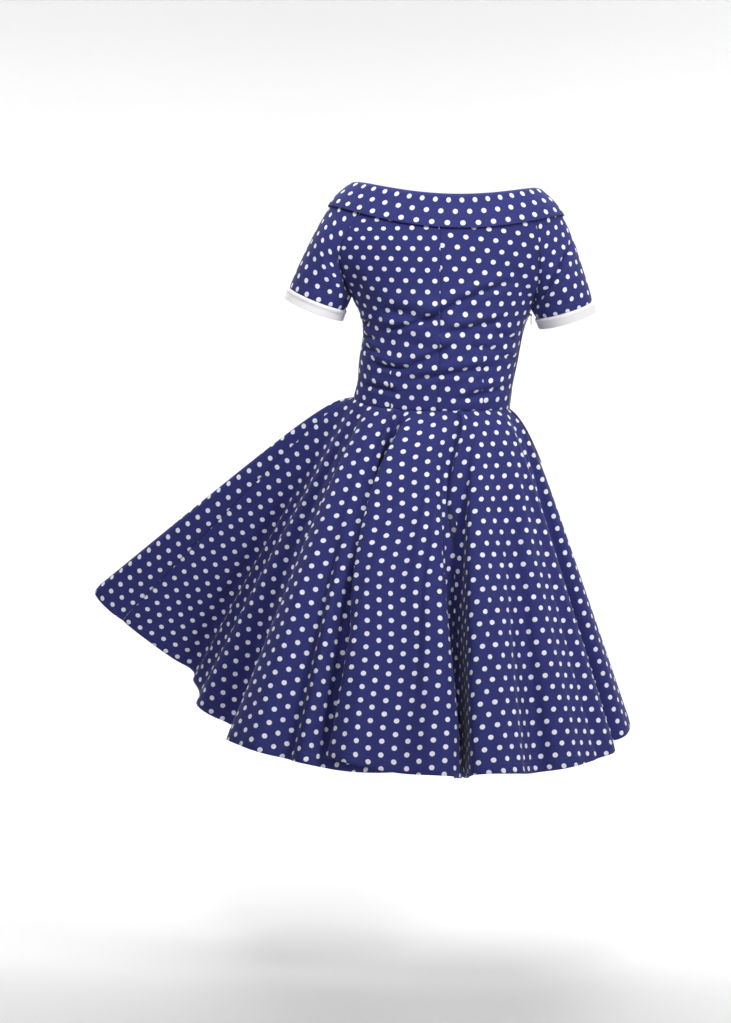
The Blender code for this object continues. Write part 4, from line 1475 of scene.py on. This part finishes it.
def make_stage():
    """The paper floor and backdrop, the soft lights and the camera."""
    stage = settings().stage
    scene = bpy.context.scene
    bm = bmesh.new()
    bmesh.ops.create_grid(bm, x_segments=1, y_segments=PAPER_STEPS, size=1)
    for vert in bm.verts:
        back, up = paper_place((vert.co.y + 1) / 2 * PAPER_LENGTH)
        vert.co = (vert.co.x * PAPER_HALF_WIDTH, back, stage.floor + up)
    paper = shared("seamless studio paper", matt_paper, stage.paper)
    smooth_object("studio_paper", bm, [paper])

    for name, place, aim, wide, spread, setting, share in LIGHTS:
        light = bpy.data.lights.new(name, "AREA")
        light.energy = share * getattr(stage, setting)
        light.size = wide
        light.spread = math.radians(spread)
        aim_at(add_object(name, light), place, aim)
    world = bpy.data.worlds.new("studio")
    world.use_nodes = True
    back = world.node_tree.nodes["Background"]
    back.inputs["Color"].default_value = (1, 1, 1, 1)
    back.inputs["Strength"].default_value = stage.world
    scene.world = world

    camera = bpy.data.cameras.new("camera")
    camera.lens = stage.lens
    scene.camera = add_object("camera", camera)
    aim_at(scene.camera, CAMERA_PLACE, CAMERA_AIM)
    scene.view_settings.view_transform = "Standard"


# The finished grids of the pieces that the stitches and the zip follow
SHAPES = {}

# The whole skirt at angles of its cut, worked out once for both halves and the zip
ANGLES = np.arange(-90, 270.01, 0.5)
SKIRT = {"angles": ANGLES, "surface": skirt_surface(ANGLES)}


class DRESS_OT_stage(bpy.types.Operator):
    """Set up the paper, the lights and the camera"""

    bl_idname = "dress.stage"
    bl_label = "Stage"

    def execute(self, context):
        make_stage()
        return {"FINISHED"}


class DRESS_OT_bodice(bpy.types.Operator):
    """Make the bodice's panels with their darts and creases"""

    bl_idname = "dress.bodice"
    bl_label = "Bodice"

    def execute(self, context):
        make_bodice()
        return {"FINISHED"}


class DRESS_OT_skirt(bpy.types.Operator):
    """Make the skirt's two half circles with their folds"""

    bl_idname = "dress.skirt"
    bl_label = "Skirt"

    def execute(self, context):
        make_skirt()
        return {"FINISHED"}


class DRESS_OT_sleeves(bpy.types.Operator):
    """Make both sleeves"""

    bl_idname = "dress.sleeves"
    bl_label = "Sleeves"

    def execute(self, context):
        make_sleeves()
        return {"FINISHED"}


class DRESS_OT_cuffs(bpy.types.Operator):
    """Make both white cuffs"""

    bl_idname = "dress.cuffs"
    bl_label = "Cuffs"

    def execute(self, context):
        make_cuffs()
        return {"FINISHED"}


class DRESS_OT_collar(bpy.types.Operator):
    """Make the folded collar"""

    bl_idname = "dress.collar"
    bl_label = "Collar"

    def execute(self, context):
        make_collar()
        return {"FINISHED"}


class DRESS_OT_zip(bpy.types.Operator):
    """Make the zip's coil and tape, and finish its slider and pull"""

    bl_idname = "dress.zip"
    bl_label = "Zip"

    def execute(self, context):
        if "bodice_front" not in SHAPES or "skirt_front" not in SHAPES:
            raise RuntimeError("make the bodice and the skirt before the zip")
        make_zip()
        return {"FINISHED"}


class DRESS_OT_stitching(bpy.types.Operator):
    """Make the stitches of the hem, the zip and the cuffs"""

    bl_idname = "dress.stitching"
    bl_label = "Stitching"

    def execute(self, context):
        if "cuff_right" not in SHAPES or "skirt_front" not in SHAPES:
            raise RuntimeError("make the skirt and the cuffs before their stitches")
        make_stitching()
        return {"FINISHED"}


class DRESS_PT_panel(bpy.types.Panel):
    """The dress's pieces and settings"""

    bl_idname = "DRESS_PT_panel"
    bl_label = "Dress"
    bl_space_type = "VIEW_3D"
    bl_region_type = "UI"
    bl_category = "Dress"

    def draw(self, context):
        for piece in PIECES:
            self.layout.operator(piece.bl_idname)
        dress = context.scene.swing_dress
        for part in ("cloth", "sewing", "zip", "stage"):
            group = getattr(dress, part)
            box = self.layout.box()
            box.label(text=part.capitalize())
            for name in group.__annotations__:
                box.prop(group, name)


PIECES = (
    DRESS_OT_stage,
    DRESS_OT_bodice,
    DRESS_OT_skirt,
    DRESS_OT_sleeves,
    DRESS_OT_cuffs,
    DRESS_OT_collar,
    DRESS_OT_zip,
    DRESS_OT_stitching,
)
CLASSES = (
    ClothSettings,
    SewingSettings,
    ZipSettings,
    StageSettings,
    DressSettings,
    *PIECES,
    DRESS_PT_panel,
)


def register():
    for item in CLASSES:
        bpy.utils.register_class(item)
    bpy.types.Scene.swing_dress = PointerProperty(type=DressSettings)


def unregister():
    del bpy.types.Scene.swing_dress
    for item in reversed(CLASSES):
        bpy.utils.unregister_class(item)


def main():
    register()
    bpy.ops.dress.stage()
    bpy.ops.dress.bodice()
    bpy.ops.dress.skirt()
    bpy.ops.dress.sleeves()
    bpy.ops.dress.cuffs()
    bpy.ops.dress.collar()
    bpy.ops.dress.zip()
    bpy.ops.dress.stitching()


if __name__ == "__main__":
    main()
